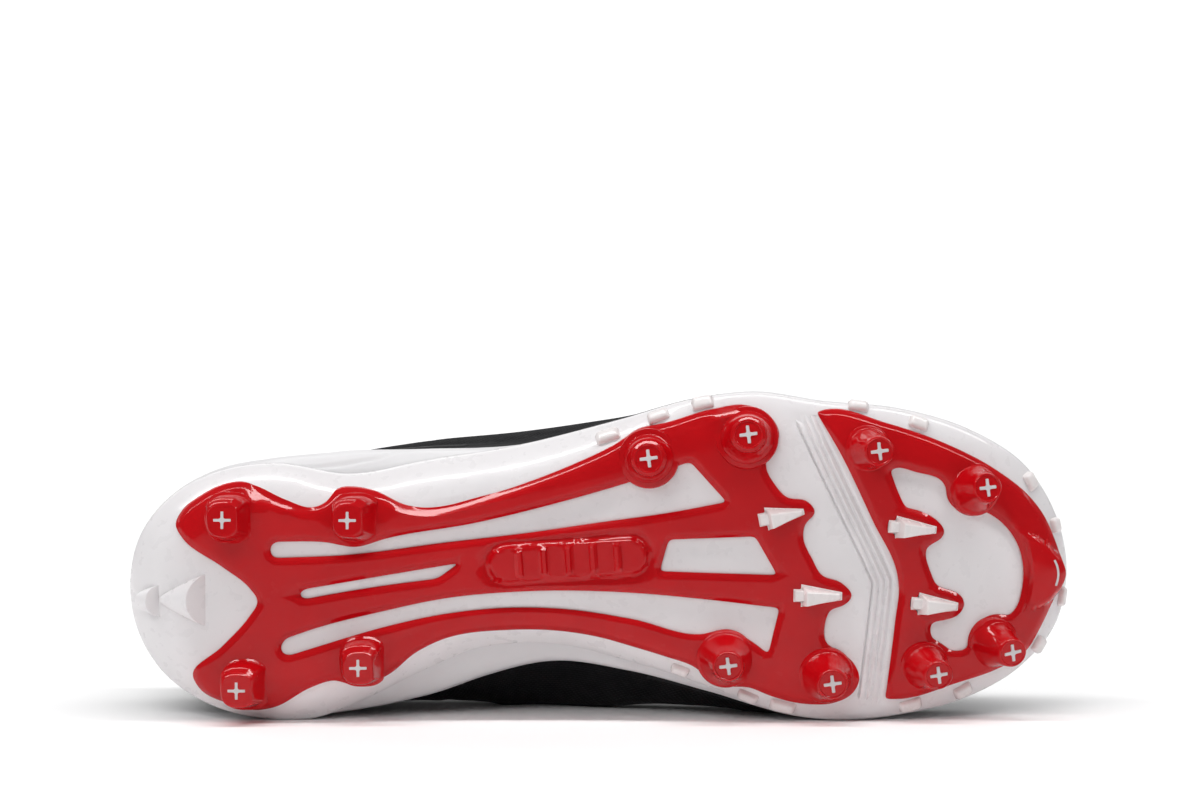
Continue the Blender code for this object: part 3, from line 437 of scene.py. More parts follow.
# Sock liner's rim: inset and height against its top
LINER_RIM = ((0.6, -3.0), (0.0, -2.4), (0.0, -0.9), (0.5, -0.2), (1.6, 0.0))
LINER_COLUMNS = 300

# Upper's overlays: edges, throat as a fade (start, width) of the way round, eyestay along it, heel counter
# and toe bumper by share of the way round, height and end height; collar padding and its seam
RELIEF_START = 2.0
OVERLAY_RAISE = 0.7
OVERLAY_EDGE = 1.5
THROAT = (0.178, 0.012)
EYESTAY_WIDTH = 13.0
EYESTAY_EDGE = 1.2
COUNTER_SHARE, COUNTER_HEIGHT, COUNTER_END = 0.1, 34.0, 3.0
COUNTER_FADE = 0.006
BUMPER_SHARE, BUMPER_HEIGHT, BUMPER_END = 0.1, 15.0, 4.0
COLLAR_PAD = 17.0
COLLAR_OUT = 2.0
COLLAR_IN = 2.5
SEAM_DEPTH = 0.5
SEAM_HALF = 0.9
ROUND_LENGTH = 720.0

# Creases across the vamp as (x, depth, half width), with the start and width of their fades; folds at the
# ankle as (place round, height, depth, half width)
CREASE_BOW = 0.10
CREASE_MIDDLE = -4.0
CREASE_RIDGE = 0.5
CREASE_PITCH = 2.2
CREASE_FOOT = (10, 14)
CREASE_FRONT = (0.02, 0.05)
CREASE_BACK = (0.27, -0.06)
FOLD_LEAN = 0.55
FOLD_TOP = 6.0
FOLD_FOOT = (6, 12)
VAMP_CREASES = [(196.0, 0.7, 2.6), (206.0, 0.9, 3.0), (217.0, 0.6, 2.6)]
ANKLE_FOLDS = [(0.17, 20.0, 0.6, 4.0), (0.83, 20.0, 0.6, 4.0)]

# Tongue's padding: sewn channels by table row, roundness of its section and ends, and its bound edge
TONGUE_CHANNELS = (1.0, 1.9, 2.8, 3.7, 4.6)
CHANNEL_HALF = 0.05
CHANNEL_DEPTH = 0.3
CHANNEL_SIDE = 0.85
TONGUE_ROWS = 90
TONGUE_SIDES = 72
TONGUE_ROUND = 90
TONGUE_SQUARE = (0.55, 0.7)
TONGUE_ENDS = 24
TONGUE_PUFF = 0.3
BINDING_RAISE = 0.35
BINDING_SIDE = 0.93
BINDING_HALF = 0.05

SHOE = (Matrix.Scale(MM, 4) @ Matrix.Translation(HEEL_PLACE)
        @ Matrix.Rotation(-(pi / 2 + LEAN), 4, "X"))


def spline(keys, values, at):
    """Smooth curve through a table: values at the given keys."""
    keys = np.asarray(keys, float)
    values = np.asarray(values, float)
    slopes = np.gradient(values, keys, axis=0)
    at = np.clip(np.asarray(at, float), keys[0], keys[-1])
    left = np.clip(np.searchsorted(keys, at, side="right") - 1, 0, len(keys) - 2)
    step = keys[left + 1] - keys[left]
    t = (at - keys[left]) / step
    if values.ndim > 1:
        t = t[:, None]
        step = step[:, None]
    start = (1 + 2 * t) * (1 - t) ** 2 * values[left] + t * (1 - t) ** 2 * step * slopes[left]
    end = t * t * (3 - 2 * t) * values[left + 1] + t * t * (t - 1) * step * slopes[left + 1]
    return start + end


def through(table, count):
    """Smooth line of points through a table's rows."""
    return spline(np.arange(len(table)), table, np.linspace(0, len(table) - 1, count))


def closed_spline(keys, values, period, at):
    """Smooth closed curve: the table repeats after one period."""
    keys = np.asarray(keys, float)
    values = np.asarray(values, float)
    return spline(np.concatenate([keys - period, keys, keys + period]),
                  np.concatenate([values, values, values]), at)


def ease(t):
    """Smooth step from 0 to 1."""
    t = np.clip(t, 0, 1)
    return t * t * (3 - 2 * t)


def fade(value, start, width):
    """Smooth step that begins at a start and ends a width further on, or back if that is negative."""
    return ease((value - start) / width)


def bump(distance, half):
    """Soft ridge: 1 on its line, 0 beyond about twice the half width."""
    return np.exp(-(distance / half) ** 2)


def unit(rows):
    """Directions scaled to length 1."""
    return rows / np.linalg.norm(rows, axis=-1, keepdims=True)


def left_of(along):
    """Flat directions a quarter turn to the left of others."""
    return np.stack([-along[:, 1], along[:, 0]], axis=1)


def run_along(points):
    """Distance run along a line at each of its points."""
    return np.concatenate([[0.0], np.cumsum(np.linalg.norm(np.diff(points, axis=0), axis=1))])


def round_turn(sides):
    """Angles of one full turn."""
    return np.linspace(0, 2 * pi, sides + 1)[:-1]


def squared(wave, power):
    """Sine or cosine swollen towards a square wave."""
    return np.sign(wave) * np.abs(wave) ** power


def field(along, across):
    """Flat points over two (start, stop, step) ranges."""
    x, y = np.meshgrid(np.arange(*along), np.arange(*across))
    return np.column_stack([x.ravel(), y.ravel()])


EDGE_TABLE = np.array(EDGE, float)
EDGE_STEPS = np.linalg.norm(np.roll(EDGE_TABLE[:, :2], -1, axis=0) - EDGE_TABLE[:, :2], axis=1)
EDGE_KEYS = np.concatenate([[0.0], np.cumsum(EDGE_STEPS)[:-1]])
EDGE_LENGTH = EDGE_STEPS.sum()
TOE_KEY = EDGE_KEYS[TOE_STATION]


def edge_at(shares):
    """Edge table at places round the sole, and the outward direction there."""
    shares = np.mod(np.asarray(shares, float), 1.0)
    keys = np.where(shares <= 0.5, shares * 2 * TOE_KEY,
                    TOE_KEY + (shares * 2 - 1) * (EDGE_LENGTH - TOE_KEY))
    rows = closed_spline(EDGE_KEYS, EDGE_TABLE, EDGE_LENGTH, keys)
    behind, ahead = (closed_spline(EDGE_KEYS, EDGE_TABLE[:, :2], EDGE_LENGTH, keys + step)
                     for step in (-EDGE_PROBE, EDGE_PROBE))
    return rows, -left_of(unit(ahead - behind))


def sole_line(x):
    return spline(*zip(*SOLE_LINE), x)


def sole_slope(x):
    return float(sole_line(x + SLOPE_REACH) - sole_line(x - SLOPE_REACH)) / (2 * SLOPE_REACH)


def foam_line(x):
    return spline(*zip(*FOAM_LINE), x)


def point_tree(points):
    """Search tree over flat points."""
    tree = kdtree.KDTree(len(points))
    for number, (x, y) in enumerate(points):
        tree.insert((x, y, 0), number)
    tree.balance()
    return tree


def nearest(tree, points):
    """Number of the tree's point nearest to each flat point."""
    return np.array([tree.find((x, y, 0))[1] for x, y in points])


DENSE_EDGE, DENSE_OUT = edge_at(np.arange(EDGE_SAMPLES) / EDGE_SAMPLES)
EDGE_TREE = point_tree(DENSE_EDGE[:, :2])


def border_distance(points, border, ahead, tree, inward):
    """Signed distance from a border of segments, positive on its inner side, and the nearest place."""
    near = nearest(tree, points)
    behind = np.argsort(ahead)
    distance = np.full(len(points), np.inf)
    place = near.astype(float)
    for first in (behind[near], near):
        span = border[ahead[first]] - border[first]
        offset = points - border[first]
        t = np.clip((offset * span).sum(1) / (span * span).sum(1), 0, 1)
        found = np.linalg.norm(offset - t[:, None] * span, axis=1)
        closer = found < distance
        distance = np.where(closer, found, distance)
        place = np.where(closer, first + t, place)
    side = ((points - border[near]) * inward[near]).sum(1)
    return np.where(side < 0, -distance, distance), place


def underside(points):
    """Height of the plate's underside: sole line plus the curl of the edge."""
    points = np.atleast_2d(np.asarray(points, float))
    ahead = np.roll(np.arange(EDGE_SAMPLES), -1)
    inset, place = border_distance(points, DENSE_EDGE[:, :2], ahead, EDGE_TREE, -DENSE_OUT)
    first = place.astype(int) % EDGE_SAMPLES
    t = place - place.astype(int)
    rise = DENSE_EDGE[first, 2] * (1 - t) + DENSE_EDGE[ahead[first], 2] * t
    curl = np.clip(1 - inset / ROLL_WIDTH, 0, ROLL_MOST) ** ROLL_POWER
    return sole_line(points[:, 0]) + rise * curl


def ground_frame(x, y, splay=0.0):
    """Matrix at a point of the underside: x towards the toe, z down along the slope's normal."""
    slope = atan(sole_slope(x))
    down = Vector((sin(slope), sin(radians(splay)), -cos(slope))).normalized()
    along = (Vector((1, 0, 0)) - down * down.x).normalized()
    turn = Matrix((along, down.cross(along), down)).transposed().to_4x4()
    return Matrix.Translation((x, y, float(underside([(x, y)])[0]))) @ turn


def moved(points, matrix):
    """Points carried by a matrix."""
    matrix = np.array(matrix)
    return points @ matrix[:3, :3].T + matrix[:3, 3]


# Mesh parts: each is points, faces, material number and, where a weave needs it, corner coordinates
Part = namedtuple("Part", "points faces material uv", defaults=(0, None))


def grid(points, wrap=False, material=0, uv=None):
    """Quads over rows and columns of points; uv has one more column where the columns wrap."""
    rows, columns = points.shape[:2]
    last = columns if wrap else columns - 1
    faces, corners = [], []
    for i in range(rows - 1):
        for j in range(last):
            k = (j + 1) % columns
            faces.append((i * columns + j, i * columns + k, (i + 1) * columns + k, (i + 1) * columns + j))
            if uv is not None:
                corners.append((uv[i][j], uv[i][j + 1], uv[i + 1][j + 1], uv[i + 1][j]))
    return Part(points.reshape(-1, 3), faces, material, corners or None)


def turned(profile, matrix, sides):
    """Turned solid from (radius, height) rows."""
    angles = np.arange(sides) * 2 * pi / sides
    radius, height = np.array(profile, float).T[..., None]
    local = np.stack(np.broadcast_arrays(radius * np.cos(angles), radius * np.sin(angles), height), axis=-1)
    return grid(moved(local, matrix), wrap=True)


def block(corners, bevel, material):
    """Block between eight corners, four low and four high in turn, with rounded edges."""
    bm = bmesh.new()
    verts = [bm.verts.new(corner) for corner in corners]
    sides = [(0, 1, 2, 3), (4, 5, 6, 7), (0, 1, 5, 4), (1, 2, 6, 5), (2, 3, 7, 6), (3, 0, 4, 7)]
    for side in sides:
        bm.faces.new([verts[i] for i in side])
    bmesh.ops.recalc_face_normals(bm, faces=bm.faces[:])
    bmesh.ops.bevel(bm, geom=bm.edges[:], offset=bevel, segments=3, profile=0.5, affect="EDGES")
    bm.verts.index_update()
    points = np.array([vert.co for vert in bm.verts])
    faces = [tuple(vert.index for vert in face.verts) for face in bm.faces]
    bm.free()
    return Part(points, faces, material)


def loop_area(points):
    x, y = points.T
    return 0.5 * float((x * np.roll(y, -1) - np.roll(x, -1) * y).sum())


def resampled(points, step, closed=False):
    """Even steps along a line of points."""
    line = np.concatenate([points, points[:1]]) if closed else points
    run = run_along(line)
    count = max(int(round(run[-1] / step)), 3)
    at = np.linspace(0, run[-1], count + 1)
    at = at[:-1] if closed else at
    return np.column_stack([np.interp(at, run, line[:, axis]) for axis in range(line.shape[1])])


def smooth_loop(rows, step=LOOP_STEP):
    """Closed outline through the points of a table, straight-ended at its corners."""
    points = np.array([row[:2] for row in rows], float)
    corners = [number for number, row in enumerate(rows) if len(row) > 2]
    if corners:
        points = np.roll(points, -corners[0], axis=0)
        stops = [number - corners[0] for number in corners] + [len(points)]
    else:
        stops = [0, len(points)]
    ring = np.concatenate([points, points[:1]])
    dense = []
    for first, last in zip(stops, stops[1:]):
        run = ring[first:last + 1]
        keys = run_along(run)
        at = np.linspace(0, keys[-1], max(int(keys[-1] * LOOP_DENSE), LOOP_DENSE))[:-1]
        if corners:
            dense.append(spline(keys, run, at))
        else:
            dense.append(closed_spline(keys[:-1], run[:-1], keys[-1], at))
    loop = resampled(np.concatenate(dense), step, closed=True)
    for _ in range(CORNER_PASSES):
        loop = (np.roll(loop, 1, axis=0) + 2 * loop + np.roll(loop, -1, axis=0)) / 4
    return loop


class Area:
    """Flat area between loops: the first is its outline, the others are holes."""

    # Border rows are thinned from ROW_FINE on; shares of a row's depth and of the spacing kept clear
    ROW_FINE = 1.0
    ROW_SPARE = 0.93
    CLEAR_SHARE = 0.6
    SLANT_RISE = 0.866
    WELD = 1e-5

    def __init__(self, loops):
        turned_loops = []
        for number, loop in enumerate(loops):
            wrong_way = (loop_area(loop) > 0) == (number > 0)
            turned_loops.append(loop[::-1] if wrong_way else loop)
        self.border = np.concatenate(turned_loops)
        ahead, start = [], 0
        for loop in turned_loops:
            ahead.append(start + np.roll(np.arange(len(loop)), -1))
            start += len(loop)
        self.ahead = np.concatenate(ahead)
        along = self.border[self.ahead] - self.border[np.argsort(self.ahead)]
        self.inward = left_of(unit(along))
        self.tree = point_tree(self.border)

    def depth(self, points):
        """Distance from the border, positive inside."""
        return border_distance(points, self.border, self.ahead, self.tree, self.inward)[0]

    def triangles(self, rows=(), spacing=None, extra=None):
        """Triangulation with finer rows along the border; gives flat points and faces."""
        inner = [np.empty((0, 2))]
        last = rows[-1] if rows else 0
        for row in rows:
            step = self.border + self.inward * row
            step = step if row < self.ROW_FINE else step[::2]
            inner.append(step[self.depth(step) > row * self.ROW_SPARE])
        if extra is not None:
            inner.append(extra[self.depth(extra) > last])
        if spacing:
            low, high = self.border.min(axis=0), self.border.max(axis=0)
            x, y = np.meshgrid(np.arange(low[0], high[0], spacing),
                               np.arange(low[1], high[1], spacing * self.SLANT_RISE))
            x[1::2] += spacing / 2
            mesh = np.column_stack([x.ravel(), y.ravel()])
            clear = spacing * self.CLEAR_SHARE
            keep = self.depth(mesh) > last + clear
            if extra is not None:
                tree = point_tree(extra)
                keep &= np.array([tree.find((a, b, 0))[2] > clear for a, b in mesh])
            inner.append(mesh[keep])
        points = np.concatenate([self.border] + inner)
        edges = [(number, int(after)) for number, after in enumerate(self.ahead)]
        found = delaunay_2d_cdt([Vector(point) for point in points], edges, [], 0, self.WELD)
        flat = np.array([tuple(point) for point in found[0]])
        faces = [tuple(face) for face in found[2]]
        middle = np.array([flat[list(face)].mean(axis=0) for face in faces])
        inside = self.depth(middle) > 0
        return flat, [face for face, kept in zip(faces, inside) if kept]


ON_BORDER = 1e-3


def sheet_parts(area, height, sink, rows, spacing, extra=None):
    """Closed low relief on the underside: height over it by place and depth, flat back sunk behind it."""
    flat, faces = area.triangles(rows, spacing, extra)
    depth = area.depth(flat)
    tall = np.where(depth < ON_BORDER, -sink, height(flat, depth))
    front = Part(np.column_stack([flat, underside(flat) - tall]), faces)
    flat, faces = area.triangles(spacing=spacing * 2)
    back = Part(np.column_stack([flat, underside(flat) + sink]), faces)
    return [front, back]


def kept_faces(part, keep, material):
    """The part with some of its faces only, in one material."""
    numbers = np.flatnonzero(keep)
    return Part(part.points, [part.faces[i] for i in numbers], material, [part.uv[i] for i in numbers])


def placed(name, data):
    """New object in the scene."""
    obj = bpy.data.objects.new(name, data)
    bpy.context.scene.collection.objects.link(obj)
    return obj


PIECE_WELD = 1e-3
PIECE_LEAST = 1e-5


def piece(name, parts, materials, nodes=(), sharp=38.0):
    """One object of the shoe from its parts, laid on the floor, riding with the body."""
    starts = np.cumsum([0] + [len(part.points) for part in parts])
    points = np.concatenate([part.points for part in parts])
    faces, numbers, corners = [], [], []
    for part, start in zip(parts, starts):
        faces += [tuple(int(index) + int(start) for index in face) for face in part.faces]
        numbers += [part.material] * len(part.faces)
        corners += part.uv if part.uv is not None else [((0, 0),) * len(face) for face in part.faces]
    mesh = bpy.data.meshes.new(name)
    mesh.from_pydata(points.tolist(), [], faces)
    mesh.polygons.foreach_set("material_index", numbers)
    if any(part.uv is not None for part in parts):
        layer = mesh.uv_layers.new(name="weave")
        layer.data.foreach_set("uv", np.array([c for face in corners for c in face], float).ravel())
    bm = bmesh.new()
    bm.from_mesh(mesh)
    bmesh.ops.remove_doubles(bm, verts=bm.verts[:], dist=PIECE_WELD)
    bmesh.ops.dissolve_degenerate(bm, edges=bm.edges[:], dist=PIECE_LEAST)
    bmesh.ops.recalc_face_normals(bm, faces=bm.faces[:])
    bm.to_mesh(mesh)
    bm.free()
    mesh.transform(SHOE)
    mesh.shade_smooth()
    mesh.set_sharp_from_angle(angle=radians(sharp))
    for material in materials:
        mesh.materials.append(material)
    obj = placed(name, mesh)
    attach(obj, "root")
    if nodes:
        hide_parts(*nodes)
    return obj


# Textures: range that noise covers, features per metre of cloudiness and of gloss, spread of the gloss,
# strength and depth in metres of the plastics' grain and strength of a weave
NOISE_RANGE = (0.3, 0.7)
PLASTIC_CLOUD = 90.0
PLASTIC_GLOSS = 260.0
PLASTIC_SPREAD = (-0.06, 0.08)
PLASTIC_COAT_ROUGHNESS = 0.04
GRAIN_STRENGTH = 0.06
GRAIN_DEPTH = 0.0001
CLOTH_CLOUD = 140.0
CLOTH_GLOSS = 400.0
CLOTH_SPREAD = (-0.08, 0.08)
CLOTH_SPECULAR = 0.06
WEAVE_STRENGTH = 0.55
WEAVE_WANDER = 0.4
WAVE_UNIT = 10.0


def set_inputs(node, values):
    """Constant values on a node's own sockets."""
    for name, value in values.items():
        node.inputs[name].default_value = value
    return node


def new_material(name, colour, roughness, coat=0.0, coat_roughness=0.1, sheen=0.0, specular=0.5):
    """Principled material with its constant values on the shader's own sockets."""
    material = bpy.data.materials.new(name)
    material.use_nodes = True
    shader = set_inputs(material.node_tree.nodes["Principled BSDF"], {
        "Base Color": (*colour, 1), "Roughness": roughness, "Coat Weight": coat,
        "Coat Roughness": coat_roughness, "Sheen Weight": sheen, "Specular IOR Level": specular})
    return material, material.node_tree, shader


def noise(tree, scale, detail=3.0):
    """Noise over the surface; scale is features per metre."""
    place = tree.nodes.new("ShaderNodeTexCoord")
    texture = set_inputs(tree.nodes.new("ShaderNodeTexNoise"), {"Scale": scale, "Detail": detail})
    tree.links.new(place.outputs["Object"], texture.inputs["Vector"])
    return texture.outputs["Fac"]


def spread(tree, value, low, high):
    """Map a texture value onto a range."""
    node = set_inputs(tree.nodes.new("ShaderNodeMapRange"), {
        "From Min": NOISE_RANGE[0], "From Max": NOISE_RANGE[1], "To Min": low, "To Max": high})
    tree.links.new(value, node.inputs["Value"])
    return node.outputs["Result"]


def tint(tree, value, first, second):
    """Colour between two tones by a texture value."""
    node = tree.nodes.new("ShaderNodeMix")
    node.data_type = "RGBA"
    tree.links.new(spread(tree, value, 0.0, 1.0), node.inputs["Factor"])
    set_inputs(node, {"A": (*first, 1), "B": (*second, 1)})
    return node.outputs["Result"]


def emboss(tree, shader, value, strength, distance):
    """Bump from a texture value; distance in metres."""
    node = set_inputs(tree.nodes.new("ShaderNodeBump"), {"Strength": strength, "Distance": distance})
    tree.links.new(value, node.inputs["Height"])
    tree.links.new(node.outputs["Normal"], shader.inputs["Normal"])


def cloud(tree, shader, tones, colour_scale, roughness, gloss_scale):
    """Cloudy colour between two tones and uneven roughness over a range."""
    tree.links.new(tint(tree, noise(tree, colour_scale), *tones), shader.inputs["Base Color"])
    tree.links.new(spread(tree, noise(tree, gloss_scale), *roughness), shader.inputs["Roughness"])


def moulded(name, colour, second, roughness, coat, grain, specular=0.4):
    """Moulded plastic: faint cloudiness, uneven gloss and a fine orange-peel grain."""
    material, tree, shader = new_material(name, colour, roughness, coat=coat,
                                          coat_roughness=PLASTIC_COAT_ROUGHNESS, specular=specular)
    gloss = [roughness + change for change in PLASTIC_SPREAD]
    cloud(tree, shader, (colour, second), PLASTIC_CLOUD, gloss, PLASTIC_GLOSS)
    emboss(tree, shader, noise(tree, grain, detail=2.0), GRAIN_STRENGTH, GRAIN_DEPTH)
    return material


def woven(name, colour, second, pitch, roughness, sheen, depth):
    """Plain weave on a map in millimetres: two crossed sets of threads, one over one under."""
    material, tree, shader = new_material(name, colour, roughness, sheen=sheen, specular=CLOTH_SPECULAR)
    place = tree.nodes.new("ShaderNodeTexCoord")
    checker = set_inputs(tree.nodes.new("ShaderNodeTexChecker"), {"Scale": 1.0 / pitch})
    tree.links.new(place.outputs["UV"], checker.inputs["Vector"])
    threads = []
    for direction in ("X", "Y"):
        wave = tree.nodes.new("ShaderNodeTexWave")
        wave.bands_direction = direction
        set_inputs(wave, {"Scale": pi / (WAVE_UNIT * pitch), "Distortion": WEAVE_WANDER})
        tree.links.new(place.outputs["UV"], wave.inputs["Vector"])
        threads.append(wave.outputs["Fac"])
    weave = tree.nodes.new("ShaderNodeMix")
    tree.links.new(checker.outputs["Fac"], weave.inputs["Factor"])
    tree.links.new(threads[0], weave.inputs["A"])
    tree.links.new(threads[1], weave.inputs["B"])
    gloss = [roughness + change for change in CLOTH_SPREAD]
    cloud(tree, shader, (colour, second), CLOTH_CLOUD, gloss, CLOTH_GLOSS)
    emboss(tree, shader, weave.outputs["Result"], WEAVE_STRENGTH, depth)
    return material


RED_PLASTIC = moulded("red_moulded", (0.46, 0.002, 0.005), (0.50, 0.003, 0.006),
                      roughness=0.2, coat=0.5, grain=1500.0, specular=0.05)
WHITE_PLASTIC = moulded("white_moulded", (0.765, 0.745, 0.755), (0.785, 0.765, 0.775),
                        roughness=0.3, coat=0.3, grain=1800.0)
CLEAR_WHITE = moulded("white_blades", (0.78, 0.74, 0.735), (0.81, 0.77, 0.765),
                      roughness=0.25, coat=0.35, grain=1500.0)
INLAY_WHITE = moulded("white_inlays", (0.60, 0.58, 0.59), (0.64, 0.62, 0.63),
                      roughness=0.42, coat=0.05, grain=2200.0)
FOAM = moulded("white_foam_skin", (0.725, 0.715, 0.725), (0.745, 0.735, 0.745),
               roughness=0.48, coat=0.0, grain=1300.0)
BLACK_FABRIC = woven("black_fabric", (0.005, 0.005, 0.006), (0.009, 0.009, 0.010),
                     pitch=0.9, roughness=0.6, sheen=0.04, depth=0.0002)
BLACK_SKIN = moulded("black_overlay", (0.006, 0.006, 0.007), (0.010, 0.010, 0.011),
                     roughness=0.42, coat=0.05, grain=1600.0, specular=0.25)
KNIT = woven("dark_knit", (0.024, 0.024, 0.027), (0.036, 0.036, 0.040),
             pitch=1.1, roughness=0.72, sheen=0.3, depth=0.0003)
LINING = woven("grey_lining", (0.030, 0.030, 0.034), (0.045, 0.045, 0.050),
               pitch=1.3, roughness=0.75, sheen=0.4, depth=0.0003)
LACE_CLOTH = woven("lace_cloth", (0.014, 0.014, 0.016), (0.026, 0.026, 0.029),
                   pitch=0.8, roughness=0.7, sheen=0.35, depth=0.0003)


def bevelled(depth, width):
    """Edge of a moulded band: a low wall, then a slope that rounds over into its flat top."""
    slope = BEVEL_WALL + BEVEL_RISE * depth / width
    mixed = np.clip(0.5 + (1 - slope) / BEVEL_ROUND, 0, 1)
    return slope * mixed + (1 - mixed) - BEVEL_ROUND / 2 * mixed * (1 - mixed)


def blade_loop(blade, spare):
    """Outline of a blade's pocket, with its tab."""
    heading = radians(blade.heading)
    ahead = np.array([cos(heading), sin(heading)])
    across = np.array([-ahead[1], ahead[0]])
    origin = np.array([blade.x, blade.y])
    heel = blade.heel_width / 2 + spare
    toe = blade.toe_width / 2 + spare
    tab = blade.heel_width * BLADE_TAB_SHARE + spare
    half = [(-BLADE_TAB - spare, tab), (-spare, tab), (-spare, heel), (blade.length + spare, toe)]
    corners = [(run, -side) for run, side in half] + half[::-1]
    rows = [(*(origin + ahead * run + across * side), "corner") for run, side in corners]
    return smooth_loop(rows, POCKET_STEP)


def pad_relief(points):
    """Plain stadium pad with straight ribs, raised between the inner beams."""
    turn = radians(PAD_TURN)
    offset = points - PAD_MIDDLE
    along = offset[:, 0] * cos(turn) + offset[:, 1] * sin(turn)
    across = offset[:, 1] * cos(turn) - offset[:, 0] * sin(turn)
    reach = np.hypot(np.maximum(np.abs(along) - PAD_HALF, 0), across)
    raised = PAD_RAISE * fade(reach, PAD_RADIUS, -PAD_EDGE)
    moat = -MOAT_DEPTH * bump(reach - PAD_RADIUS - MOAT_AWAY, MOAT_HALF)
    ribs = sum(fade(np.abs(along - rib), RIB_HALF, -RIB_EDGE) for rib in PAD_RIBS)
    return raised + moat + ribs * fade(reach, PAD_RADIUS - RIB_INSET, -RIB_END)


def pad_points():
    """Finer points where the pad's relief lies."""
    turn = radians(PAD_TURN)
    along, across = field(*PAD_FIELD).T
    return np.column_stack([PAD_MIDDLE[0] + along * cos(turn) - across * sin(turn),
                            PAD_MIDDLE[1] + along * sin(turn) + across * cos(turn)])


def cone_profile(stud):
    """Radius and height down a round stud: pad, cone with rings where the pad leaves room, rim and dish."""
    base, tip = FRAME_THICKNESS, stud.tip
    ringed = stud.foot < RINGED_SHARE * stud.pad
    profile = [(stud.pad + out, base + up) for out, up in STUD_PAD]
    for share, out, up in RINGED_CONE if ringed else PLAIN_CONE:
        profile.append((tip * (1 - share) + stud.foot * share + out, base + up))
    if ringed:
        outer, ring = tip + RING_WIDTH, base + RING_LEVEL
        rise = RING_WIDTH * tan(radians(RING_LEAN + stud.splay))
        profile += [(outer, ring - RING_LAND), (outer, ring)]
        profile += [(tip, ring + rise), (tip, ring + rise + RING_LAND)]
    profile += [(tip + out, base + STUD_HEIGHT + up) for out, up in STUD_RIM]
    return profile + [(0, profile[-1][1])]


def heel_points(part, tip):
    """Points of a heel stud: squared, flat towards the toe, its lateral side with the ribbed chamfer."""
    plain = part.points.reshape(-1, STUD_SIDES, 3)
    angle = np.arange(STUD_SIDES) * 2 * pi / STUD_SIDES
    cosine, sine = np.cos(angle), np.sin(angle)
    ribbed = np.array(HEEL_LATERAL + [(-tip, HEEL_LATERAL[-1][1])]) + (tip, FRAME_THICKNESS)
    lateral = ease(RIBBED_GAIN * sine - RIBBED_START)[None]
    radius = np.hypot(plain[..., 0], plain[..., 1]) * (1 - lateral) + ribbed[:, :1] * lateral
    z = plain[..., 2] * (1 - lateral) + ribbed[:, 1:] * lateral
    square = (np.abs(cosine) ** HEEL_SQUARE + np.abs(sine) ** HEEL_SQUARE) ** (-1 / HEEL_SQUARE)
    x = np.minimum(radius * square * cosine, HEEL_FLAT * radius) + HEEL_AHEAD
    return np.stack([x, radius * square * sine, z], axis=-1).reshape(-1, 3)


def stud_part(stud):
    """Stud leaning to its tip: a round cone, or a squared block under the heel."""
    if stud.foot:
        part = turned(cone_profile(stud), Matrix.Identity(4), STUD_SIDES)
        x, y, z = part.points.T
    else:
        tip = stud.tip - HEEL_TRIM
        profile = np.array(HEEL_SIDE + [(-tip, HEEL_SIDE[-1][1])]) + (tip, FRAME_THICKNESS)
        part = turned(profile, Matrix.Identity(4), STUD_SIDES)
        x, y, z = heel_points(part, tip).T
    x = x - stud.shift * np.clip((z - FRAME_THICKNESS) / STUD_HEIGHT, 0, 1)
    points = moved(np.column_stack([x, y, z]), ground_frame(stud.x, stud.y, stud.splay))
    return part._replace(points=points)


def plus_outline(span, arm):
    """Corners of a plus sign, by quarter turns of one arm."""
    corners = []
    for turn in range(4):
        quarter = np.array(Matrix.Rotation(-turn * pi / 2, 2))
        for corner in ((arm / 2, arm / 2), (span / 2, arm / 2), (span / 2, -arm / 2)):
            corners.append((*(quarter @ np.array(corner)), "corner"))
    return corners


def inlay_piece(number, stud):
    """White plus with a rounded rim, set in a stud's tip."""
    top = FRAME_THICKNESS + STUD_HEIGHT
    matrix = ground_frame(stud.x, stud.y, stud.splay) @ Matrix.Translation((-stud.shift, 0, 0))
    if stud.foot:
        matrix = matrix @ Matrix.Rotation(radians(INLAY_TURN), 4, "Z")
    low, high = top - INLAY_SINK, top + INLAY_LIFT
    area = Area([smooth_loop(plus_outline(INLAY_SPAN, INLAY_ARM), INLAY_STEP)])
    flat, faces = area.triangles(INLAY_ROWS, INLAY_SPACING)
    depth = area.depth(flat)
    tall = np.where(depth < ON_BORDER, low, low + (high - low) * bevelled(depth, INLAY_ROUND))
    front = Part(moved(np.column_stack([flat, tall]), matrix), faces)
    flat, faces = area.triangles()
    back = Part(moved(np.column_stack([flat, np.full(len(flat), low)]), matrix), faces)
    name = f"stud_inlay_{number:02d}"
    return piece(f"{name}_mark", [front, back], [INLAY_WHITE], [name])


TOE_AREA = Area([smooth_loop(TOE_TONGUE)])


def toe_relief(points):
    """Tongue of the toe: its top climbs towards the tip, its edge is chamfered over a steep wall."""
    climb = TOE_LEVEL + TOE_CLIMB * (points[:, 0] - TOE_START)
    beyond = np.maximum(-TOE_AREA.depth(points), 0)
    wall = np.maximum(beyond - TOE_CHAMFER, 0)
    return np.maximum(climb - TOE_SLOPE * np.minimum(beyond, TOE_CHAMFER) - TOE_WALL * wall, 0)


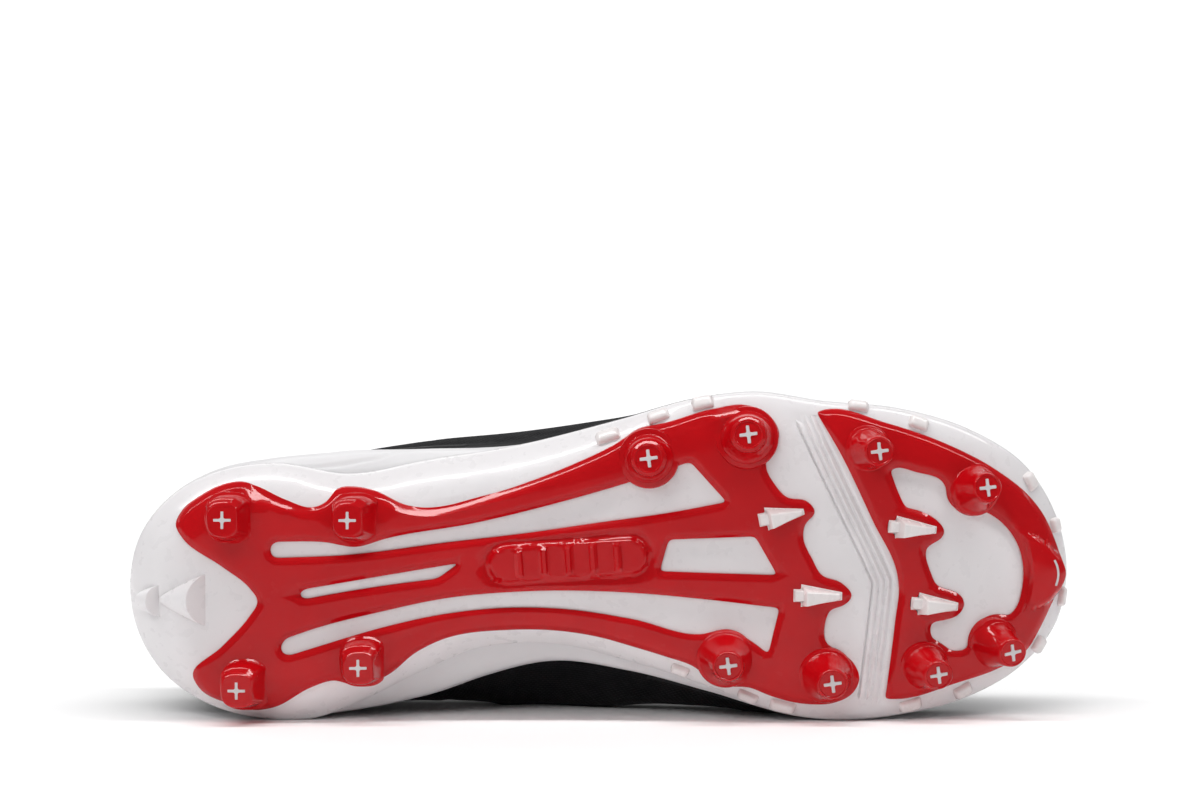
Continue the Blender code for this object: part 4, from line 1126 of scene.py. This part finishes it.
def toe_mark_piece():
    """Thin white arc along the front of the toe tongue."""
    line = through(TOE_MARK, TOE_MARK_COUNT)
    side = left_of(np.gradient(line, axis=0))
    side *= TOE_MARK_WIDTH / 2 / np.linalg.norm(side, axis=1)[:, None]
    loop = resampled(np.concatenate([line + side, (line - side)[::-1]]), TOE_MARK_STEP, closed=True)

    def height(points, _):
        return FRAME_THICKNESS + toe_relief(points) + TOE_MARK_LIFT

    parts = sheet_parts(Area([loop]), height, 0.0, FRAME_ROWS[:1], TOE_MARK_SPACING)
    return piece("toe_mark", parts, [INLAY_WHITE])


def shouldered(points, tall, depth, beyond):
    """Height with the lateral chamfer: there the frame fills the plate's curl and slopes to its edge."""
    x, y = points.T
    places, share, reach, lift = np.array(SHOULDER).T
    share = np.interp(x, places, share) * fade(y, SHOULDER_Y, -SHOULDER_BLEND)
    full = FRAME_THICKNESS + np.interp(x, places, lift) + underside(points) - sole_line(x)
    full = full * np.where(depth < beyond - SHOULDER_SPARE, bevelled(depth, FRAME_BEVEL), 1.0)
    run = np.maximum(np.interp(x, places, reach) - beyond, 0)
    faced = np.maximum(full - run * (SHOULDER_SLOPE + SHOULDER_CURVE * run), SHOULDER_LEAST)
    return tall + (faced - tall) * share


def frame_piece(name, loops, studs, blades, relief, fine_points):
    """Red frame: a bevelled band of the underside with studs on it and pockets for the blades."""
    outlines = [smooth_loop(rows) for rows in loops]
    pockets = [blade_loop(blade, POCKET_SPARE) for blade in blades]
    pattern, outside = Area(outlines), Area(outlines[:1])

    def height(points, _):
        inside = pattern.depth(points)
        tall = FRAME_THICKNESS * bevelled(inside, FRAME_BEVEL)
        if name == "frame_rear":
            tall = shouldered(points, tall, inside, outside.depth(points))
        return tall + relief(points)

    parts = sheet_parts(Area(outlines + pockets), height, GAP, FRAME_ROWS, FRAME_SPACING, fine_points)
    parts += [stud_part(stud) for stud in studs]
    return piece(f"{name}_moulding", parts, [RED_PLASTIC], [name], FRAME_SHARP)


def blade_parts(blade):
    """Wedge on its foot, tall at its heel end and sloping more to the lateral side, with a low tab behind."""
    matrix = ground_frame(blade.x, blade.y) @ Matrix.Rotation(-radians(blade.heading), 4, "Z")
    heel, toe, length = blade.heel_width / 2, blade.toe_width / 2, blade.length
    foot, end = FRAME_THICKNESS + BLADE_STEP, blade.low + CROWN_LIFT
    first, second, third, fourth = CROWN_SHARES
    outline = [(0, -heel), (length, -toe), (length, toe), (0, heel)]
    crown = [(CROWN_HEEL, -heel * first, blade.tall), (length - CROWN_TOE, -toe * second, end),
             (length - CROWN_TOE, toe * third, end), (CROWN_HEEL, heel * fourth, blade.tall)]
    tab = blade.heel_width * BLADE_TAB_SHARE
    narrow, (low, high) = tab * TAB_NARROW, TAB_HEIGHTS
    back = [(-BLADE_TAB, -tab), (1, -tab), (1, tab), (-BLADE_TAB, tab)]
    shelf = [(-BLADE_TAB + TAB_INSET, -narrow, low), (1, -narrow, high), (1, narrow, high),
             (-BLADE_TAB + TAB_INSET, narrow, low)]
    parts = []
    for rows, top, bevel in ((outline, crown, CROWN_BEVEL), (back, shelf, TAB_BEVEL)):
        sunk, step, inside = ([(*row, level) for row in rows]
                              for level in (-BLADE_SINK, foot, foot - BLADE_OVERLAP))
        parts.append(block([matrix @ Vector(corner) for corner in sunk + step], FOOT_BEVEL, material=1))
        parts.append(block([matrix @ Vector(corner) for corner in inside + top], bevel, material=1))
    return parts


def lug_part(lug):
    """Small tapered block on the curled edge, square to the surface there."""
    near = np.hypot(DENSE_EDGE[:, 0] - lug.x, DENSE_EDGE[:, 1] - lug.y).argmin()
    out = DENSE_OUT[near]
    rise = underside(np.array([out, -out]) * LUG_PROBE + (lug.x, lug.y))
    across = Vector((out[0], out[1], (rise[0] - rise[1]) / (2 * LUG_PROBE))).normalized()
    along = Vector((-out[1], out[0], sole_slope(lug.x) * -out[1]))
    down = along.cross(across).normalized()
    down = -down if down.z > 0 else down
    along = across.cross(down)
    base = Vector((lug.x, lug.y, float(underside([(lug.x, lug.y)])[0])))
    corners = []
    for level, share in ((-LUG_SINK, 1.0), (LUG_HEIGHT - LUG_SINK, LUG_TAPER)):
        for run, side in ((-1, -1), (1, -1), (1, 1), (-1, 1)):
            corner = base + along * (run * share * lug.length / 2)
            corner += across * (side * share * lug.width / 2)
            corners.append(corner + down * level)
    return block(corners, LUG_BEVEL, material=1)


def fin_part(fin):
    """Half cone under the heel, cut by a slanting flat face towards the toe."""
    matrix = ground_frame(fin.face_x, fin.y)
    run = np.linspace(FIN_POINT, 1, FIN_ROWS)[:, None]
    turn = np.linspace(0, pi, FIN_TURNS)[None]
    along = np.broadcast_to((fin.apex_x - fin.face_x) * (1 - run), (len(run), turn.size))
    slope = fin.height / (fin.face_x - fin.ridge_x)
    tall = fin.height * (fin.face_x - fin.apex_x) / (fin.ridge_x - fin.apex_x) * run * np.sin(turn)
    tall = np.minimum(tall, -along * slope) - FIN_SINK
    side = fin.radius * run ** fin.full * np.cos(turn)
    return grid(moved(np.stack([along, side, tall], axis=-1), matrix))


FLEX_LINE = resampled(through(FLEX_EDGE, FLEX_COUNT), FLEX_STEP)
FLEX_ALONG = unit(np.gradient(FLEX_LINE, axis=0))
FLEX_HEELWARD = left_of(FLEX_ALONG)


def flex_distance(points):
    """Distance behind the back edge of the front frame, and how far past the ends of that edge."""
    near = nearest(point_tree(FLEX_LINE), points)
    offset = points - FLEX_LINE[near]
    return (offset * FLEX_HEELWARD[near]).sum(1), np.abs((offset * FLEX_ALONG[near]).sum(1))


def plate_piece():
    """White plate with its flex grooves, rolled edge, blades, lugs and heel fins."""
    area = Area([resampled(DENSE_EDGE[:, :2], PLATE_STEP, closed=True)])
    drop, reach = PLATE_ROUND

    def height(points, depth):
        away, beyond = flex_distance(points)
        cut = sum(groove.depth * bump(away - groove.away, groove.half) for groove in GROOVES)
        cut = cut * (fade(beyond, *GROOVE_ENDS) * fade(depth, *GROOVE_SIDES))
        return -drop * (1 - ease(depth / reach)) - cut

    band = [FLEX_LINE + FLEX_HEELWARD * away for away in np.arange(*FLEX_BAND)]
    parts = sheet_parts(area, height, PLATE_THICKNESS, PLATE_ROWS, PLATE_SPACING, np.concatenate(band))
    for blade in REAR_BLADES + FRONT_BLADES:
        parts += blade_parts(blade)
    parts += [lug_part(lug) for lug in LUGS]
    parts += [fin_part(fin) for fin in FINS]
    return piece("outsole_moulding", parts, [WHITE_PLASTIC, CLEAR_WHITE], ["outsole_plate"])


def footbed(points):
    return sole_line(points[:, 0]) + PLATE_THICKNESS + GAP + foam_line(points[:, 0])


def rim_top(rows):
    """Height of the midsole's rim at stations round the edge."""
    return sole_line(rows[:, 0]) + rows[:, 2] + PLATE_THICKNESS + GAP + rows[:, 4]


def edge_ring(out, height, columns):
    """Ring offset outward from the plate edge; height is a function of place or a value."""
    rows, outward = edge_at(np.arange(columns) / columns)
    place = rows[:, :2] + outward * np.broadcast_to(out, columns)[:, None]
    return np.column_stack([place, height(place) if callable(height) else np.broadcast_to(height, columns)])


def filled(ring, height, spacing):
    """Sheet inside a ring, at a height by place."""
    area = Area([ring[:, :2]])
    flat, faces = area.triangles(spacing=spacing)
    return Part(np.column_stack([flat, height(flat)]), faces)


def midsole_piece():
    """Foam carrier: lies on the plate, stands out at the waist, a panel line on its lateral side."""
    columns = MIDSOLE_COLUMNS
    rows, _ = edge_at(np.arange(columns) / columns)
    foot, wall = rows[:, 3], rows[:, 4]

    def on_plate(points):
        return underside(points) + PLATE_THICKNESS + GAP

    rings = [edge_ring(-inset, on_plate, columns) for inset in MIDSOLE_INSETS]
    x, y = rows[:, :2].T
    line = np.interp(x, *zip(*PANEL_LINE))
    lined = (y < 0) * fade(x, PANEL_LINE[0][0], PANEL_END) * fade(x, PANEL_LINE[-1][0], -PANEL_END)
    for up in np.linspace(0.0, 1.0, MIDSOLE_ROWS):
        out = foot * spline(*zip(*MIDSOLE_SIDE), up)
        out = out - PANEL_DEPTH * lined * bump((up - line) * wall, PANEL_HALF)
        out = out - MIDSOLE_FOOT_ROUND * fade(up, *MIDSOLE_FOOT) - MIDSOLE_ROUND * fade(up, *MIDSOLE_TOP)
        rings.append(edge_ring(out, rim_top(rows) - wall * (1 - up), columns))
    rings.append(edge_ring(-RIM_WIDTH + MIDSOLE_ROUND, rim_top(rows), columns))
    rings.append(edge_ring(-RIM_WIDTH, rim_top(rows) - MIDSOLE_ROUND, columns))
    rings.append(edge_ring(-RIM_WIDTH - MIDSOLE_STEP, footbed, columns))
    parts = [grid(np.array(rings), wrap=True), filled(rings[0], on_plate, spacing=6.0),
             filled(rings[-1], footbed, spacing=4.0)]
    return piece("midsole_foam", parts, [FOAM], ["midsole"])


def insole_piece():
    """Sock liner with a rounded rim."""
    def over(points):
        return footbed(points) + INSOLE_GAP + INSOLE_THICKNESS

    rings = []
    for inset, lift in LINER_RIM:
        rings.append(edge_ring(-INSOLE_INSET - inset, lambda place: over(place) + lift, LINER_COLUMNS))
    under = filled(rings[0], lambda place: over(place) - INSOLE_THICKNESS, spacing=5.0)
    parts = [grid(np.array(rings), wrap=True), under, filled(rings[-1], over, spacing=3.0)]
    return piece("sock_liner", parts, [KNIT], ["insole"])


def upper_rows(shares, levels):
    """Plain outer face of the upper: level 0 on the midsole's rim, 1 on the topline."""
    shares = np.asarray(shares, float)
    rows, out = edge_at(shares)
    table = np.array(UPPER, float)
    _, belly, rise, reach, drop, *top = closed_spline(table[:, 0], table, 1.0, np.mod(shares, 1.0)).T
    base = np.column_stack([rows[:, :2] + out * (rows[:, 3] * RIM_SHARE - UPPER_INSET)[:, None],
                            rim_top(rows) + GAP])
    top = np.column_stack(top)
    lean = unit(base[:, :2] - top[:, :2])
    first = base + np.column_stack([out * belly[:, None], rise])
    last = top + np.column_stack([lean * reach[:, None], -drop])
    t = np.asarray(levels, float)[:, None, None]
    return base * (1 - t) ** 3 + first * 3 * t * (1 - t) ** 2 + last * 3 * t * t * (1 - t) + top * t ** 3


def upper_place(share, level, lift=0.0):
    """Point on the upper, lifted along its outward normal, with that normal."""
    patch = upper_rows([share - SHARE_PROBE, share, share + SHARE_PROBE], [level - LEVEL_PROBE, level])
    normal = unit(np.cross(patch[1, 2] - patch[1, 0], patch[1, 1] - patch[0, 1]))
    return patch[1, 1] + normal * lift, normal


def up_wall(rows):
    """Distance up the wall at each of its rows."""
    steps = np.linalg.norm(np.diff(rows, axis=0), axis=2)
    return np.concatenate([np.zeros((1, len(steps[0]))), np.cumsum(steps, axis=0)])


def level_below_top(shares, below):
    """Levels that lie a distance below the topline, measured along the wall."""
    levels = np.linspace(0, 1, LEVEL_COUNT)
    runs = up_wall(upper_rows(shares, levels)).T
    return np.array([np.interp(run[-1] - below, run, levels) for run in runs])


def collar_swell(shares, down):
    """Share of the collar's padding: none at its two edges and along the throat."""
    throat = fade(np.minimum(shares, 1 - shares), *THROAT)
    return np.sin(pi * np.clip(down / COLLAR_PAD, 0, 1)) * (1 - throat)


def upper_relief(shares, up, down, points):
    """Overlays, padding and soft creases of the upper, in millimetres along its normal."""
    heel = np.minimum(shares, 1 - shares)
    toe = np.abs(shares - 0.5)
    throat = fade(heel, *THROAT)
    eyestay = fade(down, EYESTAY_WIDTH, -EYESTAY_EDGE) * throat
    arch = np.sqrt(np.clip(1 - (heel / COUNTER_SHARE) ** 2, 0, 1))
    counter = fade(up, COUNTER_HEIGHT * arch + COUNTER_END, -OVERLAY_EDGE)
    counter *= fade(heel, COUNTER_SHARE, -COUNTER_FADE)
    arch = np.clip(1 - (toe / BUMPER_SHARE) ** 2, 0, 1)
    bumper = fade(up, BUMPER_END + BUMPER_HEIGHT * arch, -OVERLAY_EDGE)
    overlay = np.maximum(np.maximum(eyestay, counter), bumper)
    collar = COLLAR_OUT * collar_swell(shares, down)
    seam = -SEAM_DEPTH * bump(down - COLLAR_PAD, SEAM_HALF) * (1 - throat)
    folds = np.zeros_like(up)
    across = points[..., 0] + CREASE_BOW * np.abs(points[..., 1] - CREASE_MIDDLE)
    for place, depth, half in VAMP_CREASES:
        folds -= depth * bump(across - place, half)
        folds += CREASE_RIDGE * depth * bump(across - place - CREASE_PITCH * half, half)
    folds *= fade(up, *CREASE_FOOT) * fade(toe, *CREASE_FRONT) * fade(toe, *CREASE_BACK)
    for side, place, depth, half in ANKLE_FOLDS:
        line = np.abs(shares - side) * ROUND_LENGTH - FOLD_LEAN * (up - place)
        folds -= depth * bump(line, half) * fade(down, COLLAR_PAD, FOLD_TOP) * fade(up, *FOLD_FOOT)
    return OVERLAY_RAISE * overlay + collar + seam + folds, overlay


def upper_piece():
    """One wall round the foot, its lining inside, open at collar and throat and underneath."""
    shares = np.arange(UPPER_COLUMNS) / UPPER_COLUMNS
    levels = np.linspace(0, 1, UPPER_ROWS)
    plain = upper_rows(shares, levels)
    along = np.roll(plain, -1, axis=1) - np.roll(plain, 1, axis=1)
    normal = unit(np.cross(along, np.gradient(plain, axis=0)))
    up = up_wall(plain)
    down = up[-1] - up
    relief, overlay = upper_relief(np.broadcast_to(shares, up.shape), up, down, plain)
    outer = plain + normal * (relief * fade(up, 0, RELIEF_START))[..., None]
    over_floor = HEEL_PLACE.z - outer[..., 1] * cos(LEAN) - outer[..., 2] * sin(LEAN)
    outer[..., 1] += np.minimum(over_floor, 0)
    inner = plain - normal * (UPPER_WALL + COLLAR_IN * collar_swell(shares, down))[..., None]
    middle, half = (outer[-1] + inner[-1]) / 2, (outer[-1] - inner[-1]) / 2
    rise = np.gradient(plain, axis=0)[-1]
    rise *= (np.linalg.norm(half, axis=1) / np.linalg.norm(rise, axis=1))[:, None]
    lip = np.array([middle + half * cos(turn) + rise * sin(turn) for turn in np.linspace(0, pi, 7)[1:-1]])
    columns = np.arange(UPPER_COLUMNS + 1) * (ROUND_LENGTH / UPPER_COLUMNS)
    map_up = np.concatenate([up, up[:, :1]], axis=1)
    uv = np.stack([np.broadcast_to(columns, map_up.shape), map_up], axis=-1)
    skin = grid(outer, wrap=True, uv=uv)
    top = grid(np.concatenate([outer[-1:], lip, inner[-1:]]), wrap=True, material=1)
    back = grid(inner[::-1], wrap=True, material=2, uv=uv)
    foot = grid(np.array([inner[0], outer[0]]), wrap=True, material=1)
    parts = [without_eyelets(part) for part in split_by(skin, overlay) + [back]] + [top, foot]
    return piece("upper_shell", parts, [BLACK_FABRIC, BLACK_SKIN, LINING], ["upper"])


def split_by(part, overlay):
    """The part's faces in two: plain cloth, and the overlay where its share is large."""
    share = overlay.ravel()[np.array(part.faces)].mean(axis=1) > 0.5
    return [kept_faces(part, keep, material) for material, keep in ((0, ~share), (1, share))]


def eyelet_places():
    """Eyelets: point on the upper and outward normal, both sides."""
    shares = [share for lateral in EYELET_SHARES for share in (lateral, 1 - lateral)]
    return [upper_place(share, EYELET_LEVEL, EYELET_LIFT) for share in shares]


def without_eyelets(part):
    """Drop the faces where the eyelets are punched."""
    middle = part.points[np.array(part.faces)].mean(axis=1)
    keep = np.ones(len(middle), bool)
    for place, normal in eyelet_places():
        offset = middle - place
        lift = offset @ normal
        away = np.linalg.norm(offset - lift[:, None] * normal, axis=1)
        keep &= (away > EYELET_RADIUS + EYELET_SPARE) | (np.abs(lift) > EYELET_REACH)
    return kept_faces(part, keep, part.material)


def normal_frame(place, normal):
    """Matrix at a place with its z axis along a normal."""
    turn = Vector(normal).to_track_quat("Z", "X").to_matrix().to_4x4()
    return Matrix.Translation(place) @ turn


def eyelets_piece():
    """Thin rims pressed through the punched eyelets."""
    parts = [turned(EYELET_RIM, normal_frame(*place), EYELET_SIDES) for place in eyelet_places()]
    return piece("eyelet_rims", parts, [BLACK_SKIN])


def tongue_piece():
    """Padded tongue: crowned cloth with a bound edge and sewn channels."""
    table = np.array(TONGUE, float)
    keys = np.linspace(0, len(table) - 1, TONGUE_ROWS)
    x, y, z, half, arch = (column[:, None] for column in through(table, TONGUE_ROWS).T)
    turn = round_turn(TONGUE_SIDES)
    side, face = (squared(wave, power) for wave, power in zip((np.cos(turn), np.sin(turn)), TONGUE_SQUARE))
    ends = np.sqrt(np.clip(1 - np.abs(np.linspace(-1, 1, TONGUE_ROWS)) ** TONGUE_ENDS, 0, 1))[:, None]
    slope = np.stack([np.gradient(x, axis=0), np.gradient(z, axis=0)])
    slope /= np.linalg.norm(slope, axis=0)
    channels = sum(bump(keys - place, CHANNEL_HALF) for place in TONGUE_CHANNELS)
    puff = 1.0 - CHANNEL_DEPTH * channels[:, None] * (np.abs(side) < CHANNEL_SIDE)
    thick = (TONGUE_THICKNESS / 2 + TONGUE_PUFF) * face * ends * puff
    thick += BINDING_RAISE * bump(np.abs(side) - BINDING_SIDE, BINDING_HALF) * np.sign(face) * ends
    level = thick - TONGUE_THICKNESS / 2
    crown = z - arch * side ** 2
    points = np.stack([x + level * slope[1], y + side * half, crown - level * slope[0]], axis=-1)
    run = run_along(np.concatenate([x, z], axis=1))
    uv = np.stack(np.broadcast_arrays(np.linspace(0, TONGUE_ROUND, TONGUE_SIDES + 1), run[:, None]), axis=-1)
    parts = [grid(points, wrap=True, uv=uv)]
    for end in points[0], points[-1]:
        parts.append(grid(np.stack([np.broadcast_to(end.mean(axis=0), end.shape), end]), wrap=True))
    tongue = piece("tongue_pad", parts, [KNIT], ["tongue"])


def tongue_top(x):
    """Height of the tongue's crown over a place along the shoe."""
    along, _, up, *_ = zip(*reversed(TONGUE))
    return float(np.interp(x, along, up))


def lace_stops(share, rows):
    """Stops of the lace on the upper and its width there."""
    return [(upper_place(share, level, lift)[0], width) for level, lift, width in rows]


def lace_route(first_side):
    """Stops of one lace half: down through an eyelet, out under the edge, over to the other side."""
    route = []
    for step, lateral in enumerate(EYELET_SHARES):
        share = lateral if (step + first_side) % 2 == 0 else 1 - lateral
        if step:
            rim, _ = upper_place(share, 1.0, RIM_LIFT)
            middle = (route[-1][0] + rim) / 2
            middle[2] = max(tongue_top(middle[0]), middle[2]) + TONGUE_CLEAR
            middle[2] += CROSSING_LIFT * (first_side == step % 2)
            route += [(middle, 1.0), (rim, 1.0)]
        route += lace_stops(share, DOWN_STOPS if step else DOWN_STOPS[1:])
        if step < len(EYELET_SHARES) - 1:
            route += lace_stops(share, UNDER_STOPS)
    return route + lace_stops(share, [END_STOP])


def bar_route():
    """Straight bar across the lowest pair of eyelets."""
    lateral = EYELET_SHARES[0]
    return lace_stops(lateral, BAR_STOPS) + lace_stops(1 - lateral, BAR_STOPS[::-1])


def lace_part(route):
    """Flat woven lace along its stops, its width kept along the throat."""
    stops = np.array([stop for stop, _ in route])
    widths = np.array([width for _, width in route])
    keys = run_along(stops)
    at = np.linspace(0, keys[-1], int(keys[-1] / LACE_STEP))
    line = spline(keys, stops, at)
    width = np.interp(at, keys, widths)
    tangent = unit(np.gradient(line, axis=0))
    throat = np.array(LACE_ACROSS)
    across = unit(throat - (tangent @ throat)[:, None] * tangent)
    face = np.cross(across, tangent)
    turn = round_turn(LACE_SIDES)
    wide = squared(np.cos(turn), LACE_SQUARE) * LACE_WIDTH / 2
    deep = np.sin(turn) * LACE_THICKNESS / 2
    full = LACE_FULL - (LACE_FULL - 1) * width
    points = (line[:, None] + across[:, None] * (wide[None] * width[:, None])[..., None]
              + face[:, None] * (deep[None] * full[:, None])[..., None])
    uv = np.stack(np.broadcast_arrays(np.linspace(0, LACE_ROUND, LACE_SIDES + 1)[None], at[:, None]), axis=-1)
    return grid(points, wrap=True, uv=uv)


def laces_piece():
    """Lace through the eyelets; its hidden ends stop inside the top pair."""
    parts = [lace_part(route) for route in (bar_route(), lace_route(0), lace_route(1))]
    return piece("lace_run", parts, [LACE_CLOTH], ["laces"])


def stitch_parts(shares, below):
    """Row of thread stitches on the upper, a distance below the topline."""
    levels = level_below_top(shares, below)
    places = np.array([upper_place(share, level, STITCH_LIFT)[0] for share, level in zip(shares, levels)])
    run = resampled(places, STITCH_PITCH)
    turn = round_turn(STITCH_SIDES)
    circle = np.column_stack([np.cos(turn), np.sin(turn), np.zeros_like(turn)])
    parts = []
    for start, end in zip(run, run[1:]):
        along = Vector(end - start).normalized()
        matrix = np.array(along.to_track_quat("Z", "X").to_matrix())
        rings = [start + (end - start) * share + (circle * radius) @ matrix.T
                 for share, radius in STITCH_THREAD]
        parts.append(grid(np.array(rings), wrap=True))
    return parts


def stitching_piece():
    """Seams of the eyestay and of the collar."""
    lateral, collar = np.linspace(*EYESTAY_SEAM), np.linspace(*COLLAR_SEAM)
    parts = []
    for shares in (lateral, 1 - lateral):
        parts += stitch_parts(shares, EYESTAY_WIDTH - EYESTAY_SEAM_IN)
    parts += stitch_parts(np.mod(collar, 1.0), COLLAR_PAD + COLLAR_SEAM_BELOW)
    return piece("upper_stitching", parts, [LACE_CLOTH])


# Red frames, stud inlays and the white plate
frame_piece("frame_rear", [REAR_OUTLINE, LATERAL_WINDOW, INNER_WINDOW, FORE_WINDOW, MEDIAL_WINDOW],
            HEEL_STUDS + BALL_STUDS, REAR_BLADES, pad_relief, pad_points())
frame_piece("frame_front", [FRONT_OUTLINE, FRONT_WINDOW], FRONT_STUDS, FRONT_BLADES, toe_relief,
            field(*TOE_FIELD))
for number, stud in enumerate(HEEL_STUDS + BALL_STUDS + FRONT_STUDS, 1):
    inlay_piece(number, stud)
toe_mark_piece()
plate_piece()

# Foam, lining, upper, tongue and laces
midsole_piece()
insole_piece()
upper_piece()
eyelets_piece()
tongue_piece()
laces_piece()
stitching_piece()

# Camera at the photograph's angle: square on to the sole from a little above
CAMERA_AWAY = 2.6
CAMERA_RAISED = radians(4.86)
VIEW_WIDTH = 0.380
SENSOR_WIDTH = 36.0
VIEW_FAR = 200.0
VIEW_MIDDLE = Vector((149.5, -55.6, 18.0))


def set_camera():
    camera = placed("camera", bpy.data.cameras.new("camera"))
    away = Vector((0, -cos(CAMERA_RAISED), sin(CAMERA_RAISED))) * CAMERA_AWAY
    camera.location = SHOE @ VIEW_MIDDLE + away
    camera.rotation_euler = (pi / 2 - CAMERA_RAISED, 0, 0)
    camera.data.sensor_width = SENSOR_WIDTH
    camera.data.lens = SENSOR_WIDTH * CAMERA_AWAY / VIEW_WIDTH
    camera.data.clip_end = VIEW_FAR
    bpy.context.scene.camera = camera


# Pale floor: half size in metres, its two tones and the features per metre of the clouding
FLOOR_HALF = 60.0
FLOOR_CLOUD = 4.0
FLOOR_TONE = (0.965, 0.965, 0.965)
FLOOR_SECOND = (0.975, 0.975, 0.975)


def set_floor():
    """Plain pale floor that runs out of sight."""
    bm = bmesh.new()
    bmesh.ops.create_grid(bm, x_segments=1, y_segments=1, size=FLOOR_HALF)
    mesh = bpy.data.meshes.new("floor")
    bm.to_mesh(mesh)
    bm.free()
    floor = placed("floor", mesh)
    material, tree, shader = new_material("pale_floor", FLOOR_TONE, roughness=0.9, specular=0.1)
    colour = tint(tree, noise(tree, FLOOR_CLOUD), FLOOR_TONE, FLOOR_SECOND)
    tree.links.new(colour, shader.inputs["Base Color"])
    mesh.materials.append(material)


def add_panel(name, power, location, turn, width, depth, mirrored=True):
    """Soft rectangular light turned by its Euler angles in degrees, seen in glossy faces or not."""
    light = bpy.data.lights.new(name, "AREA")
    light.energy = power
    light.shape = "RECTANGLE"
    light.size = width
    light.size_y = depth
    obj = placed(name, light)
    obj.location = location
    obj.rotation_euler = [radians(angle) for angle in turn]
    obj.visible_glossy = mirrored


def set_light():
    """Studio light: a long strip overhead, a panel in front and a wide one over the far floor."""
    world = bpy.data.worlds.new("studio")
    bpy.context.scene.world = world
    world.use_nodes = True
    set_inputs(world.node_tree.nodes["Background"], {"Color": (1.0, 0.99, 1.0, 1), "Strength": 0.18})
    add_panel("overhead_strip", 24.5, (0, -0.27, 1.35), (11, 0, 0), 3.5, 0.12)
    add_panel("front_panel", 10.0, (-0.7, -1.6, 1.3), (55, 0, -22), 1.2, 0.6, mirrored=False)
    add_panel("far_floor", 430.0, (0, 3.8, 3.0), (30, 0, 0), 10.0, 6.0)
    bpy.context.scene.view_settings.view_transform = "Standard"


set_camera()
set_floor()
set_light()
